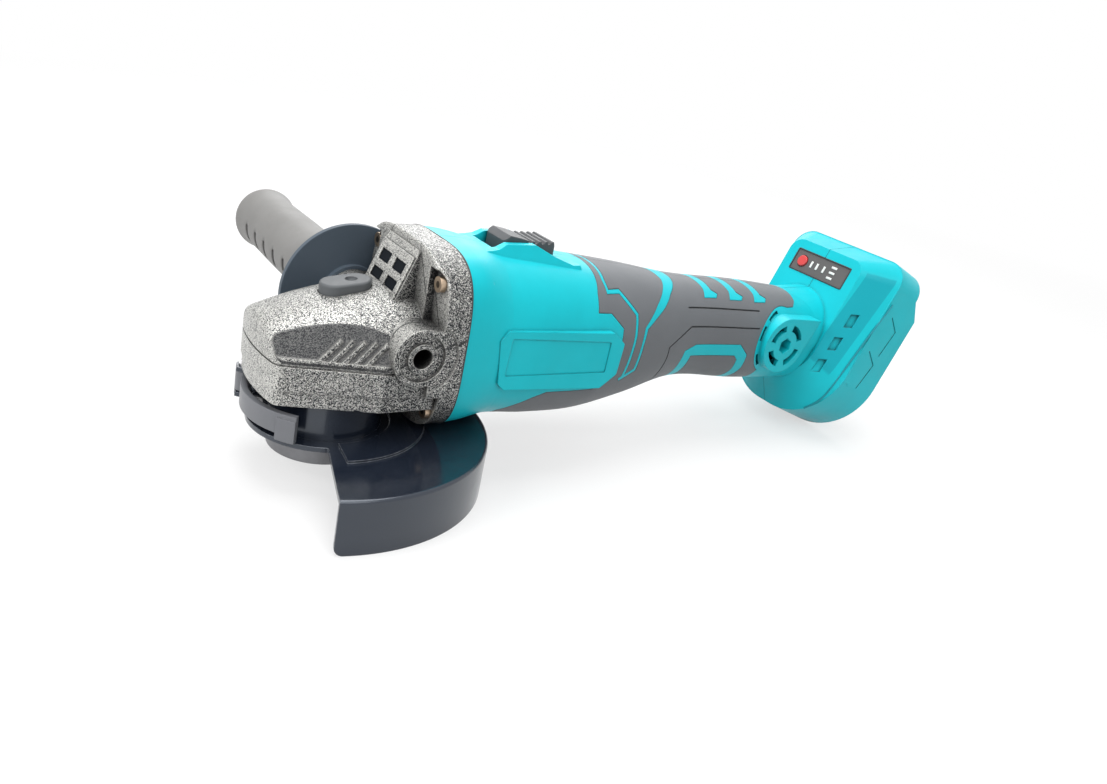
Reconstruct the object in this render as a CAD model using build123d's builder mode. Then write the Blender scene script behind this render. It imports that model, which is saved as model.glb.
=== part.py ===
from build123d import *
import os
from math import acos, atan, atan2, copysign, cos, degrees, hypot, pi, radians, sin, tan

os.makedirs("parts", exist_ok=True)

# Cordless angle grinder for 125 mm wheels, in millimetres.
# The origin is the tip of the spindle. Z runs up the spindle, X back to the battery foot
# and Y out along the side handle.

# Clearances
fit = 0.02  # pressed pieces of one body
running = 0.05  # shafts in their bearings, per side
sliding = 0.3  # moving pieces beside fixed ones
seam = 0.1  # each housing half stops this short of the middle
shadow_gap = 0.15  # round the edge of the soft grip

# Drive line
axis_z = 53.5  # height of the motor shaft
gear_module = 1.3
pinion_teeth = 11
gear_teeth = 37
tooth_face = 7.0
tooth_backlash = 0.28
pressure_angle = radians(22)
pinion_addendum = 1.15
gear_addendum = 0.75
dedendum = 1.65
shaft_radius = 4.0
shaft_tail_radius = 3.0
spindle_radius = 6.0
spindle_top_radius = 4.0
spindle_thread_radius = 7.0
spindle_shoulder_radius = 9.5
free_thread = 3.6  # bare thread below the nut

# Clamping stack on the spindle
nut_radius = 20.5
nut_bottom = 4.0
nut_height = 6.0
flange_height = 4.6
flange_hub_radius = 13.0
flange_hub_height = 3.8
pilot_radius = 11.05
pilot_height = 1.5
nut_pin_circle = 15.0
nut_pin_radius = 2.1

# Gear head
joint_x = 39.6  # plane between the gear head and the body
nose_front = -30.0
nose_corner = (-27.6, 20.0)  # front corners, sharp
nose_corner_radius = 5.0
nose_flare_x = 9.0  # where the spreading sides end
nose_half = 32.5
case_bottom = 37.0
nose_ledge = 50.0
crown_middle = (36.6, -96.2)  # X and Z about which the top bows
crown_bow = 169.0  # bow of the top from front to rear
crown_arch = 36.0  # and from side to side
recess_lean = 7.0
recess_rise = 12.0
recess_ribs = 5
block_front = 26.0
block_low_front = 31.5
case_flange_half = 36.6
chamber_radius = 25.4
chamber_top = 50.5
neck_radius = 20.8
neck_bottom = 20.0
cover_bottom = 31.0
boss_radius = 11.6
boss_rim = 2.2
handle_seat = 14.5  # flat round each boss
boss_half = 34.5
handle_x = 22.2
handle_thread_radius = 4.0
handle_thread_depth = 16.0
corner_y = 27.5
corner_rise = 26.0
vent_half = 14.0
vent_hole = 4.3
vent_pitch = 9.0
vent_rows = 7.6

# Bearings, as outer radius, bore and width
front_bearing_size = (11.0, 4.0, 7.0)
rear_bearing_size = (9.5, 3.0, 6.0)
spindle_bearing_size = (16.0, 6.0, 10.0)
bush_size = (6.0, 4.0, 9.0)

# Spindle lock
button_length = 20.0
button_width = 12.0
button_top = 72.5
button_depth = 6.3
button_lean = radians(8)
button_x = 3.5
lock_travel = 3.0
lock_circle = 10.5
lock_pin_radius = 2.0
lock_lift = 1.0  # pin above the gear at rest
spring_wire = 0.35
spring_radius = 3.0
spring_turns = 5
spring_seat_depth = 4.0

# Guard
guard_radius = 67.5
guard_wall = 1.8
guard_top = 16.0
guard_plate = 2.0
rest_z = -6.0  # lower edge of the guard, and the table under the tool
guard_start = -105.4
guard_span = 180.0
band_radius = 23.4
band_top = 30.0
hub_radius = 29.0
step_radius = 41.0
step_height = 1.0
lever_radius = 31.4
lever_wall = 2.4
lever_low = 19.4
lever_high = 27.6
lever_start = 143.0
lever_end = 231.0
lever_pin_radius = 2.0
lever_eye_radius = 3.8
clamp_angle = 168.0

# Motor
stator_radius = 24.0
stator_bore = 14.6
stator_yoke = 21.4
pole_shoe = 1.8
coil_width = 11.0
stator_start = 63.0
stator_length = 32.0
rotor_radius = 14.0
winding_overhang = 4.0
fan_radius = 29.5
fan_start = 45.0
fan_width = 10.0
fan_blades = 22

# Body: half heights and centres along X
slimness = 0.96  # half width over half height
skin = 2.0  # soft grip thickness
wall = 2.8  # hard shell under the grip
flange_half = 36.6
barrel_half = 35.8
waist_half = 30.6
grip_half = 24.9
shoulder_x = 60.0
barrel_end = 106.0
waist_x = 135.0
grip_x = 166.0
body_end = 266.0

# Battery foot
foot_top_x = 275.7
foot_top_z = 92.6
foot_tilt = radians(20.75)
foot_half = 37.9
foot_face_half = 24.6
foot_chamfer = 17.0
foot_depth = 46.5
foot_rise = 9.0
foot_wall = 3.0
slot_depth = 16.0
slot_half = 29.5
rail_reach = 5.5
rail_thickness = 4.5
cheek_x = 230.0
cheek_z = 49.3
cheek_radius = 17.0  # where the soft grip ends
cheek_disc = 14.4  # raised round vent
cheek_half = 27.0
wing_tip = (251.8, 62.3)

# Switch
switch_travel = 5.0
knob_half = 7.6
knob_start = 65.5
knob_length = 26.0
slot_floor = 85.6
collar_half = 10.3  # at its rim
collar_foot = 16.0
link_half = 4.0
link_top = 79.1
link_thickness = 1.2
switch_x = 112.0
switch_length = 22.0
switch_half = 8.0
switch_low = 52.0
switch_high = 68.4

# Control unit and housing screws
control_start = 150.0
control_length = 62.0
control_half = 15.0
control_low = 40.0
control_high = 61.0
lead_radius = 1.6
case_screw_radius = 2.0
case_screw_head = 3.6
case_screw_length = 26.0
case_screw_seat = 14.0

# Side handle
handle_disc_radius = 30.0
handle_length = 120.0
handle_root_radius = 13.4
handle_end_radius = 15.2
handle_slots = 5
handle_slot_pitch = 13.4

# Charge panel on the foot
panel_width = 36.3
panel_height = 11.5
panel_drop = 5.4
panel_depth = 1.4
check_radius = 3.0
check_travel = 0.6
check_y = 12.3


def at_x(x, z=0.0):
    """Plane square to X whose own axes are Y and Z."""
    return Plane(origin=(x, 0, z), x_dir=(0, 1, 0), z_dir=(1, 0, 0))


def at_y(y):
    """Plane square to Y whose own axes are X and Z; it extrudes towards -Y."""
    return Plane(origin=(0, y, 0), x_dir=(1, 0, 0), z_dir=(0, -1, 0))


def disc(plane, outer, length, inner=0.0, mode=Mode.ADD):
    """A round disc, or a ring, standing on a plane."""
    with BuildSketch(plane) as profile:
        Circle(outer)
        if inner:
            Circle(inner, mode=Mode.SUBTRACT)
    extrude(profile.sketch, amount=length, mode=mode)


def slab(plane, points, length, mode=Mode.ADD, both=False, rounding=0.0):
    """A flat outline given by its corners, drawn out from a plane."""
    with BuildSketch(plane) as profile:
        with BuildLine():
            Polyline(*points, close=True)
        make_face()
        if rounding:
            fillet(profile.vertices(), rounding)
    extrude(profile.sketch, amount=length, both=both, mode=mode)


def block(x, y, z, mode=Mode.ADD):
    """A box between two X values, two Y values and two Z values."""
    centre = ((x[0] + x[1]) / 2, (y[0] + y[1]) / 2, (z[0] + z[1]) / 2)
    with Locations(centre):
        Box(x[1] - x[0], y[1] - y[0], z[1] - z[0], mode=mode)


def turned(plane, points):
    """A profile of radius and height, turned about the plane's own Z axis."""
    side = Plane(origin=plane.origin, x_dir=plane.x_dir, z_dir=-plane.y_dir)
    with BuildSketch(side) as profile:
        with BuildLine():
            Polyline(*points, close=True)
        make_face()
    revolve(profile.sketch, axis=Axis(plane.origin, plane.z_dir))


def rounded_square(half_width, half_height, power, count=16):
    """Points round a square that swells towards a circle as the power falls to 2."""
    points = []
    for step in range(count):
        turn = 2 * pi * step / count
        across, along = cos(turn), sin(turn)
        points.append((
            copysign(abs(across) ** (2 / power) * half_width, across),
            copysign(abs(along) ** (2 / power) * half_height, along),
        ))
    return points


def near_section(x, centre, half, power):
    """Control points of the lower and upper quarter of the body's near half at an X."""
    width = half * slimness
    pull = (8 * 2 ** (-1 / power) - 4) / 3
    low = [(0, -half), (-pull * width, -half), (-width, -pull * half), (-width, 0)]
    high = [(-width, 0), (-width, pull * half), (-pull * width, half), (0, half)]
    return [[Vector(x, y, centre + z) for y, z in quarter] for quarter in (low, high)]


# Stations of the body: X, height of the middle, half height, squareness
stations = (
    (joint_x, axis_z + 0.9, flange_half, 3.6),
    (joint_x + 7.0, axis_z + 0.9, flange_half - 0.2, 3.4),
    (shoulder_x, axis_z - 0.2, barrel_half, 2.5),
    ((shoulder_x + barrel_end) / 2, axis_z - 2.2, barrel_half - 0.4, 2.4),
    (barrel_end, axis_z - 3.4, barrel_half - 1.5, 2.4),
    (waist_x, axis_z - 2.8, waist_half, 2.3),
    (grip_x, axis_z - 1.5, grip_half + 0.1, 2.3),
    ((grip_x + body_end) / 2, axis_z - 4.6, grip_half, 2.3),
    (body_end, axis_z - 8.3, grip_half - 1.4, 2.3),
)


def slope(points, index):
    """How a row of control points runs on along X at one station."""
    before, after = points[max(index - 1, 0)], points[min(index + 1, len(points) - 1)]
    here = points[index]
    if before is here or after is here:
        return [(b - a) * (1 / (b.X - a.X)) for a, b in zip(before, after)]
    back, ahead = here[0].X - before[0].X, after[0].X - here[0].X
    return [
        ((c - b) * (back / ahead) + (b - a) * (ahead / back)) * (1 / (back + ahead))
        for a, b, c in zip(before, here, after)
    ]


def body_form(inset, spare=0.0):
    """The near half of the swelling body, drawn in all round by an inset and longer by a spare."""
    last = len(stations) - 1
    rows = []
    for index, (x, centre, half, power) in enumerate(stations):
        x = x - spare if index == 0 else x + spare if index == last else x
        rows.append(near_section(x, centre, half - inset, power))
    faces, rim = [], []
    for quarter, edge in ((0, 0), (1, 3)):
        points = [row[quarter] for row in rows]
        for index in range(last):
            third = (points[index + 1][0].X - points[index][0].X) / 3
            grid = [
                points[index],
                [a + m * third for a, m in zip(points[index], slope(points, index))],
                [a - m * third for a, m in zip(points[index + 1], slope(points, index + 1))],
                points[index + 1],
            ]
            faces.append(Face.make_bezier_surface(grid))
            rim.append(Edge.make_bezier(*[row[edge] for row in grid]))
    for low, high in (rows[0], rows[last]):
        side = Edge.make_line(high[3], low[0])
        rim.append(side)
        faces.append(Face(Wire([Edge.make_bezier(*low), Edge.make_bezier(*high), side])))
    faces.append(Face(Wire(rim)))
    return Solid(Shell(faces))


def station_at(x):
    """Middle height and half height of the body at an X."""
    for (x0, centre0, half0, _), (x1, centre1, half1, _) in zip(stations, stations[1:]):
        if x0 <= x <= x1:
            share = (x - x0) / (x1 - x0)
            return centre0 + share * (centre1 - centre0), half0 + share * (half1 - half0)
    raise ValueError(f"no body at X {x}")


# Bevel teeth
pinion_pitch = gear_module * pinion_teeth / 2
gear_pitch = gear_module * gear_teeth / 2
cone_distance = hypot(pinion_pitch, gear_pitch)
pinion_cone = atan(pinion_teeth / gear_teeth)
gear_cone = pi / 2 - pinion_cone
inner_share = (cone_distance - tooth_face) / cone_distance


def tooth_outline(cone, addendum):
    """Half of a tooth as thickness and height, on its own back cone."""
    pitch = cone_distance * tan(cone)
    base = pitch * cos(pressure_angle)
    half_angle = (pi * gear_module / 2 - tooth_backlash) / 2 / pitch
    rolled = tan(pressure_angle) - pressure_angle
    points = []
    for height in (-dedendum - 0.3, -dedendum / 2, 0.0, addendum / 2, addendum):
        radius = pitch + height
        lean = acos(min(base / radius, 1.0))
        angle = half_angle + rolled - (tan(lean) - lean)
        points.append((radius * sin(angle), radius * cos(angle) - pitch))
    return points


def bevel_tooth(cone, addendum):
    """One straight bevel tooth with the cone's tip at the origin and its axis on Z."""
    along = Vector(sin(cone), 0, cos(cone))
    half = tooth_outline(cone, addendum)
    outline = half + [(-x, y) for x, y in reversed(half)]
    ends = []
    for share in (1.0, inner_share):
        plane = Plane(origin=along * cone_distance * share, x_dir=(0, -1, 0), z_dir=along)
        with BuildSketch(plane) as end:
            with BuildLine():
                Polyline(*[(x * share, y * share) for x, y in outline], close=True)
            make_face()
        ends.append(end.sketch)
    with BuildPart() as tooth:
        loft(ends, ruled=True)
    return tooth.part


def root_point(cone, share):
    """Foot of the teeth as radius and distance down the axis from the cone's tip."""
    reach = cone_distance * share
    depth = dedendum * share
    return (reach * sin(cone) - depth * cos(cone), reach * cos(cone) + depth * sin(cone))


apex = (0, 0, axis_z)
gear_frame = Plane(origin=apex, x_dir=(1, 0, 0), z_dir=(0, 0, -1))
pinion_frame = Plane(origin=apex, x_dir=(0, 0, -1), z_dir=(1, 0, 0))

# Heights on the spindle
flange_bottom = nut_bottom + nut_height + 0.1
flange_top = flange_bottom + flange_height
shoulder_z = flange_top + flange_hub_height
bearing_floor = neck_bottom + 4.0
bearing_top = bearing_floor + spindle_bearing_size[2]
gear_rim = root_point(gear_cone, 1.0)
gear_neck = root_point(gear_cone, inner_share)
gear_back = axis_z - gear_rim[1] - 5.5
web_top = axis_z - gear_neck[1] - 2.0
web_radius = gear_neck[0] - 1.0
ring_height = 1.2
bush_bottom = axis_z - 2.0
bush_top = bush_bottom + bush_size[2]
spindle_tip = bush_top - 0.5

# Spindle, stepped up from the wheel thread to the bush
with BuildPart() as spindle:
    turned(Plane.XY, [
        (0, 0),
        (spindle_thread_radius, 0),
        (spindle_thread_radius, free_thread),
        (spindle_thread_radius - 0.4, free_thread),
        (spindle_thread_radius - 0.4, nut_bottom + 0.2),
        (spindle_thread_radius, nut_bottom + 0.2),
        (spindle_thread_radius, shoulder_z),
        (spindle_shoulder_radius, shoulder_z),
        (spindle_shoulder_radius, bearing_floor),
        (spindle_radius, bearing_floor),
        (spindle_radius, web_top + ring_height + 1),
        (spindle_radius - 0.8, web_top + ring_height + 1),
        (spindle_radius - 0.8, bush_bottom - 0.6),
        (spindle_top_radius, bush_bottom - 0.6),
        (spindle_top_radius, spindle_tip),
        (0, spindle_tip),
    ])
    disc(Plane.XY.offset(web_top), spindle_radius + 1, ring_height, spindle_radius - 0.8, mode=Mode.SUBTRACT)
spindle.part.label = "spindle"

# Spring ring that keeps the gear on the spindle
with BuildPart() as gear_ring:
    disc(Plane.XY.offset(web_top + fit), spindle_radius + 1.4, ring_height - 2 * fit, spindle_radius - 0.8 + fit)
    block((-1.2, 1.2), (0, 2 * spindle_radius), (web_top, web_top + ring_height), Mode.SUBTRACT)
gear_ring.part.label = "gear_ring"

# Driven gear with its ring of lock holes
with BuildPart() as bevel_gear:
    turned(gear_frame, [
        (spindle_radius + fit, axis_z - web_top),
        (web_radius, axis_z - web_top),
        gear_neck,
        gear_rim,
        (gear_rim[0] - 0.4, gear_rim[1] + 5.5),
        (spindle_radius + 4, gear_rim[1] + 5.5),
        (spindle_radius + 3, axis_z - bearing_top - 0.1),
        (spindle_radius + fit, axis_z - bearing_top - 0.1),
    ])
    with Locations(gear_frame):
        with PolarLocations(0, gear_teeth, start_angle=180 / gear_teeth):
            add(bevel_tooth(gear_cone, gear_addendum))
    with Locations((0, 0, web_top)):
        with PolarLocations(lock_circle, 4):
            Cylinder(lock_pin_radius + sliding, 40, mode=Mode.SUBTRACT)
bevel_gear.part.label = "bevel_gear"

# Motor pinion
pinion_rim = root_point(pinion_cone, 1.0)
pinion_neck = root_point(pinion_cone, inner_share)
front_bearing_x = joint_x - 1.2 - front_bearing_size[2]
pinion_front = pinion_neck[1] - 0.4
with BuildPart() as pinion:
    turned(pinion_frame, [
        (shaft_radius + fit, pinion_front),
        (pinion_neck[0], pinion_front),
        pinion_neck,
        pinion_rim,
        (shaft_radius + 2, pinion_rim[1] + 2),
        (shaft_radius + 2, front_bearing_x),
        (shaft_radius + fit, front_bearing_x),
    ])
    with Locations(pinion_frame):
        with PolarLocations(0, pinion_teeth):
            add(bevel_tooth(pinion_cone, pinion_addendum))
    disc(at_x(0, axis_z), shaft_radius + fit, 60, mode=Mode.SUBTRACT)
pinion.part.label = "pinion"


def bearing(plane, size):
    """A shielded ball bearing as one ring with its two shield grooves."""
    outer, bore, width = size
    bore = bore + running
    land = (outer - bore) * 0.25
    turned(plane, [
        (bore, 0),
        (bore + land, 0),
        (bore + land, 0.4),
        (outer - land, 0.4),
        (outer - land, 0),
        (outer - fit, 0),
        (outer - fit, width),
        (outer - land, width),
        (outer - land, width - 0.4),
        (bore + land, width - 0.4),
        (bore + land, width),
        (bore, width),
    ])


with BuildPart() as spindle_bearing:
    bearing(Plane.XY.offset(bearing_floor + fit), spindle_bearing_size)
spindle_bearing.part.label = "spindle_bearing"

with BuildPart() as spindle_bush:
    disc(
        Plane.XY.offset(bush_bottom),
        bush_size[0] - fit,
        bush_size[2] - fit,
        bush_size[1] + running,
    )
spindle_bush.part.label = "spindle_bush"

with BuildPart() as front_bearing:
    bearing(at_x(front_bearing_x + fit, axis_z), front_bearing_size)
front_bearing.part.label = "front_bearing"

# Wheel clamp: inner flange and pin-spanner nut
with BuildPart() as inner_flange:
    disc(Plane.XY.offset(flange_bottom), nut_radius, flange_height)
    fillet(edges().filter_by(GeomType.CIRCLE), 0.7)
    disc(Plane.XY.offset(flange_top), flange_hub_radius, flange_hub_height - fit)
    disc(Plane.XY.offset(flange_bottom - pilot_height), pilot_radius, pilot_height)
    disc(Plane.XY, spindle_thread_radius + fit, shoulder_z, mode=Mode.SUBTRACT)
inner_flange.part.label = "inner_flange"

with BuildPart() as lock_nut:
    disc(Plane.XY.offset(nut_bottom), nut_radius, nut_height)
    fillet(edges().filter_by(GeomType.CIRCLE), 0.7)
    disc(
        Plane.XY.offset(nut_bottom + nut_height - pilot_height - 0.3),
        pilot_radius + sliding,
        pilot_height + 1,
        mode=Mode.SUBTRACT,
    )
    disc(Plane.XY.offset(nut_bottom - 1), spindle_thread_radius + fit, 20, mode=Mode.SUBTRACT)
    with Locations((0, 0, nut_bottom)):
        with PolarLocations(nut_pin_circle, 4):
            Cylinder(nut_pin_radius, 2 * (nut_height - 2), mode=Mode.SUBTRACT)
lock_nut.part.label = "lock_nut"


# Gear head casting
def nose_plan(inset, low, high, mode=Mode.ADD):
    """The gear case seen from above: a bowed front, two screw corners and sides that spread to the rear."""
    x, y = nose_corner
    with BuildSketch(Plane.XY.offset(low)) as plan:
        with BuildLine():
            ThreePointArc((x, y), (nose_front, 0), (x, -y))
            Polyline(
                (x, -y), (nose_flare_x, -nose_half), (joint_x, -nose_half),
                (joint_x, nose_half), (nose_flare_x, nose_half), (x, y),
            )
        make_face()
        fillet(plan.vertices().filter_by(lambda v: v.X < x + 1), nose_corner_radius)
        if inset:
            offset(amount=-inset, kind=Kind.INTERSECTION, mode=Mode.REPLACE)
    extrude(plan.sketch, amount=high - low, mode=mode)


button_floor = button_top - button_depth
pocket_floor = button_floor - lock_travel - 0.4
spring_seat = pocket_floor - spring_seat_depth
tunnel_radius = pinion_pitch + pinion_addendum + 1.4
pin_bottom = web_top + lock_lift
vent_foot = (16.6, 66.0)
vent_head = (25.4, 88.6)
vent_lean = atan((vent_head[0] - vent_foot[0]) / (vent_head[1] - vent_foot[1]))
vent_face = Plane(
    origin=((vent_foot[0] + vent_head[0]) / 2, 0, (vent_foot[1] + vent_head[1]) / 2),
    x_dir=(0, 1, 0),
    z_dir=(cos(vent_lean), 0, -sin(vent_lean)),
)
screw_corners = [(y, axis_z + 0.9 + rise) for y in (-corner_y, corner_y) for rise in (-corner_rise, corner_rise)]
cover_screw_spots = [(-23.0, -16.4), (-23.0, 16.4), (20.5, -25), (20.5, 25)]
cover_screw_head = 3.4
cover_screw_sunk = 2.6
cover_screw_radius = 2.0
head_screw_radius = 2.0
head_screw_head = 3.0
head_screw_seat = {True: 29.5, False: block_low_front}

# Slanted recess along the side of the nose, with ribs left standing in it
side_run = Vector(nose_flare_x - nose_corner[0], nose_corner[1] - nose_half, 0).normalized()
side_in = Vector(-side_run.Y, side_run.X, 0)
recess_start = Vector(nose_corner[0], -nose_corner[1], nose_ledge) + side_in * 1.0 - side_run * 8
rib_height = 7.5
with BuildPart() as side_recess:
    slab(Plane(origin=recess_start, x_dir=side_in, z_dir=side_run), [
        (-30, 0), (0, 0), (recess_lean, recess_rise), (recess_lean, 40), (-30, 40),
    ], 90)
    for count in range(recess_ribs):
        rib = Plane(
            origin=recess_start + side_run * (22 + 4.2 * count), x_dir=side_in,
            z_dir=side_run - Vector(0, 0, 1),
        )
        lean = recess_lean * rib_height / recess_rise
        slab(rib, [
            (-1.2, 0), (lean - 1.2, rib_height * 2 ** 0.5), (lean + 1, rib_height * 2 ** 0.5), (1, 0),
        ], 1.5, Mode.SUBTRACT)
    mirror(about=Plane.XZ)

with BuildPart() as parting_groove:
    nose_plan(-1.0, nose_ledge - 3.4, nose_ledge - 2.6)
    nose_plan(0.5, nose_ledge - 4, nose_ledge - 2, Mode.SUBTRACT)

with BuildPart() as gear_housing:
    nose_plan(0, case_bottom, nose_ledge + 30)
    crown_axis = Axis((crown_middle[0], 0, crown_middle[1]), (0, 1, 0))
    with BuildSketch(at_x(*crown_middle)):
        reach = crown_arch - 1
        spring = crown_bow - crown_arch + (crown_arch ** 2 - reach ** 2) ** 0.5
        with BuildLine():
            ThreePointArc((-reach, spring), (0, crown_bow), (reach, spring))
            Polyline((-reach, spring), (-reach, 100), (reach, 100), (reach, spring))
        make_face()
    revolve(axis=crown_axis, mode=Mode.INTERSECT)
    fillet(edges().filter_by(lambda e: e.center().Z > nose_ledge + 2 and e.center().X < nose_corner[0] + 3), 3.5)
    add(side_recess.part, mode=Mode.SUBTRACT)
    add(parting_groove.part, mode=Mode.SUBTRACT)
    # Flange block against the body
    with BuildSketch(at_x(block_front, axis_z + 0.9)) as block_outline:
        with BuildLine():
            Spline(*rounded_square(case_flange_half * slimness, case_flange_half, 3.6), periodic=True)
        make_face()
    extrude(amount=joint_x - block_front)
    block((block_front - 1, block_low_front), (-60, 60), (0, case_bottom), Mode.SUBTRACT)
    # Vent block leaning forward over the shaft
    slab(Plane.XZ, [
        vent_foot, vent_head, (block_front + 2, vent_head[1]), (block_front + 2, vent_foot[1]),
    ], vent_half, both=True)
    # Side bosses for the handle
    disc(Plane(origin=(handle_x, boss_half, axis_z), z_dir=(0, -1, 0)), boss_radius, 2 * boss_half)
    # Gear chamber, shaft tunnel and bearing seats
    disc(Plane.XY.offset(case_bottom - 20), chamber_radius, chamber_top - case_bottom + 20, mode=Mode.SUBTRACT)
    disc(Plane.XY.offset(chamber_top - 1), bush_size[0], bush_top - chamber_top + 1, mode=Mode.SUBTRACT)
    disc(at_x(pinion_front - 1.2, axis_z), tunnel_radius, 40, mode=Mode.SUBTRACT)
    disc(at_x(front_bearing_x, axis_z), front_bearing_size[0], 20, mode=Mode.SUBTRACT)
    # Lock button pocket and pin bore
    with BuildSketch(Plane.XY.offset(pocket_floor)):
        with Locations((button_x, 0)):
            SlotOverall(button_length + 2 * sliding, button_width + 2 * sliding)
    extrude(amount=30, mode=Mode.SUBTRACT)
    with Locations((lock_circle, 0, pocket_floor)):
        Cylinder(lock_pin_radius + running, 40, mode=Mode.SUBTRACT)
        Cylinder(spring_radius + 2 * spring_wire + sliding, 2 * spring_seat_depth, mode=Mode.SUBTRACT)
    # Cooling holes
    with BuildSketch(vent_face):
        with Locations((0, -0.9)):
            with GridLocations(vent_pitch, vent_rows, 2, 2):
                Rectangle(vent_hole, vent_hole)
    extrude(amount=5, both=True, mode=Mode.SUBTRACT)
    # Screw seats and holes
    for y, z in screw_corners:
        seat = head_screw_seat[z > axis_z]
        lift = 20 if z < axis_z else 5.5
        place = Plane(origin=(seat, y, z), x_dir=(0, 1, 0), z_dir=(1, 0, 0))
        disc(place, head_screw_radius + 0.2, 30, mode=Mode.SUBTRACT)
        if z > axis_z:
            side = copysign(1, y)
            spread = sorted((y - side * 5.0, y + side * 12.0))
            block((block_front - 1, seat), spread, (z - 16, z + lift), Mode.SUBTRACT)
    with Locations(*[(x, y, case_bottom) for x, y in cover_screw_spots]):
        Cylinder(cover_screw_radius + fit, 18, mode=Mode.SUBTRACT)
    # Handle seats and threads on both sides
    for side in (-1, 1):
        start = Plane(origin=(handle_x, side * boss_half, axis_z), z_dir=(0, -side, 0))
        disc(start, handle_seat, -5, mode=Mode.SUBTRACT)
        disc(start, boss_radius - boss_rim, 1.2, handle_thread_radius + 2.0, mode=Mode.SUBTRACT)
        disc(start, handle_thread_radius + fit, handle_thread_depth, mode=Mode.SUBTRACT)
gear_housing.part.label = "gear_housing"

# Lower cover that carries the spindle bearing and the guard
with BuildPart() as bearing_cover:
    nose_plan(0.6, cover_bottom, case_bottom)
    block((block_low_front - sliding, 60), (-60, 60), (0, 60), Mode.SUBTRACT)
    disc(Plane.XY.offset(neck_bottom), neck_radius, cover_bottom - neck_bottom)
    disc(Plane.XY.offset(bearing_floor), spindle_bearing_size[0], 30, mode=Mode.SUBTRACT)
    disc(Plane.XY.offset(bearing_top + fit), neck_radius, 30, mode=Mode.SUBTRACT)
    disc(Plane.XY.offset(neck_bottom - 1), spindle_shoulder_radius + 2.0, 10, mode=Mode.SUBTRACT)
    with Locations(*[(x, y, cover_bottom) for x, y in cover_screw_spots]):
        Cylinder(cover_screw_radius + 0.2, 30, mode=Mode.SUBTRACT)
        Cylinder(cover_screw_head + sliding, 2 * cover_screw_sunk, mode=Mode.SUBTRACT)
    for y, z in screw_corners:
        place = Plane(origin=(0, y, z), x_dir=(0, 1, 0), z_dir=(1, 0, 0))
        disc(place, head_screw_head + 0.5, 60, mode=Mode.SUBTRACT)
    retainer_spots = [(18.3 * cos(radians(a)), 18.3 * sin(radians(a))) for a in (45, 135, 225, 315)]
    with Locations(*[(x, y, bearing_top) for x, y in retainer_spots]):
        Cylinder(1.0 + fit, 12, mode=Mode.SUBTRACT)
bearing_cover.part.label = "bearing_cover"

with BuildPart() as bearing_retainer:
    disc(Plane.XY.offset(bearing_top + 2 * fit), neck_radius - sliding, 1.6, 12.5)
    with Locations(*[(x, y, bearing_top) for x, y in retainer_spots]):
        Cylinder(1.0 + fit, 12, mode=Mode.SUBTRACT)
bearing_retainer.part.label = "bearing_retainer"

with BuildPart() as retainer_screws:
    retainer_top = bearing_top + 2 * fit + 1.6
    for x, y in retainer_spots:
        with Locations((x, y, retainer_top - 3)):
            Cylinder(1.0, 6 + fit)
        with Locations((x, y, retainer_top + fit + 0.5)):
            Cylinder(1.9, 1.0)
retainer_screws.part.label = "retainer_screws"

with BuildPart() as dust_seal:
    disc(
        Plane.XY.offset(neck_bottom + 0.3),
        spindle_shoulder_radius + 2.0 - fit,
        bearing_floor - neck_bottom - 0.4,
        spindle_shoulder_radius + running,
    )
dust_seal.part.label = "dust_seal"


def pan_screw(plane, radius, length, head_radius, head_height):
    """A screw whose shank goes along the plane's Z from a round head with a cross slot."""
    disc(plane, radius, length)
    disc(plane.offset(-fit), head_radius, -head_height)


with BuildPart() as cover_screws:
    for x, y in cover_screw_spots:
        pan_screw(
            Plane(origin=(x, y, cover_bottom + cover_screw_sunk - fit)), cover_screw_radius,
            13 - cover_screw_sunk, cover_screw_head, cover_screw_sunk - 0.2,
        )
cover_screws.part.label = "cover_screws"

with BuildPart() as head_screws:
    for y, z in screw_corners:
        seat = head_screw_seat[z > axis_z] - fit
        place = Plane(origin=(seat, y, z), x_dir=(0, 1, 0), z_dir=(1, 0, 0))
        pan_screw(place, head_screw_radius, joint_x - seat + 9, head_screw_head, 2.2)
head_screws.part.label = "head_screws"

# Spindle lock
with BuildPart() as lock_button:
    with BuildSketch(Plane.XY.offset(button_floor)):
        with Locations((button_x, 0)):
            SlotOverall(button_length, button_width)
    extrude(amount=button_depth + 6)
    rise = tan(button_lean) * button_length
    slab(Plane.XZ, [
        (button_x - button_length, button_top - rise), (button_x + button_length, button_top + rise),
        (button_x + button_length, button_top + 20), (button_x - button_length, button_top + 20),
    ], button_width, Mode.SUBTRACT, both=True)
    fillet(faces().sort_by(Axis.Z)[-1].edges(), 1.0)
    with Locations((button_x + 2, 0, button_top + 0.6)):
        Sphere(2.4, mode=Mode.SUBTRACT)
    with Locations((lock_circle, 0, button_floor)):
        Cylinder(lock_pin_radius + fit, 5, mode=Mode.SUBTRACT)
lock_button.part.label = "lock_button"

with BuildPart() as lock_pin:
    disc(Plane(origin=(lock_circle, 0, pin_bottom)), lock_pin_radius, button_floor + 2.5 - fit - pin_bottom)
    chamfer(edges().group_by(Axis.Z)[0], 0.4)
lock_pin.part.label = "lock_pin"

with BuildPart() as lock_spring:
    spring_low = spring_seat + spring_wire + fit
    spring_rise = button_floor - spring_seat - 2 * (spring_wire + fit)
    with BuildLine():
        Helix(spring_rise / spring_turns, spring_rise, spring_radius, center=(lock_circle, 0, spring_low))
    with BuildSketch(Plane(origin=(lock_circle + spring_radius, 0, spring_low), z_dir=(0, 1, 0))):
        Circle(spring_wire)
    sweep(is_frenet=True)
lock_spring.part.label = "lock_spring"


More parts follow.
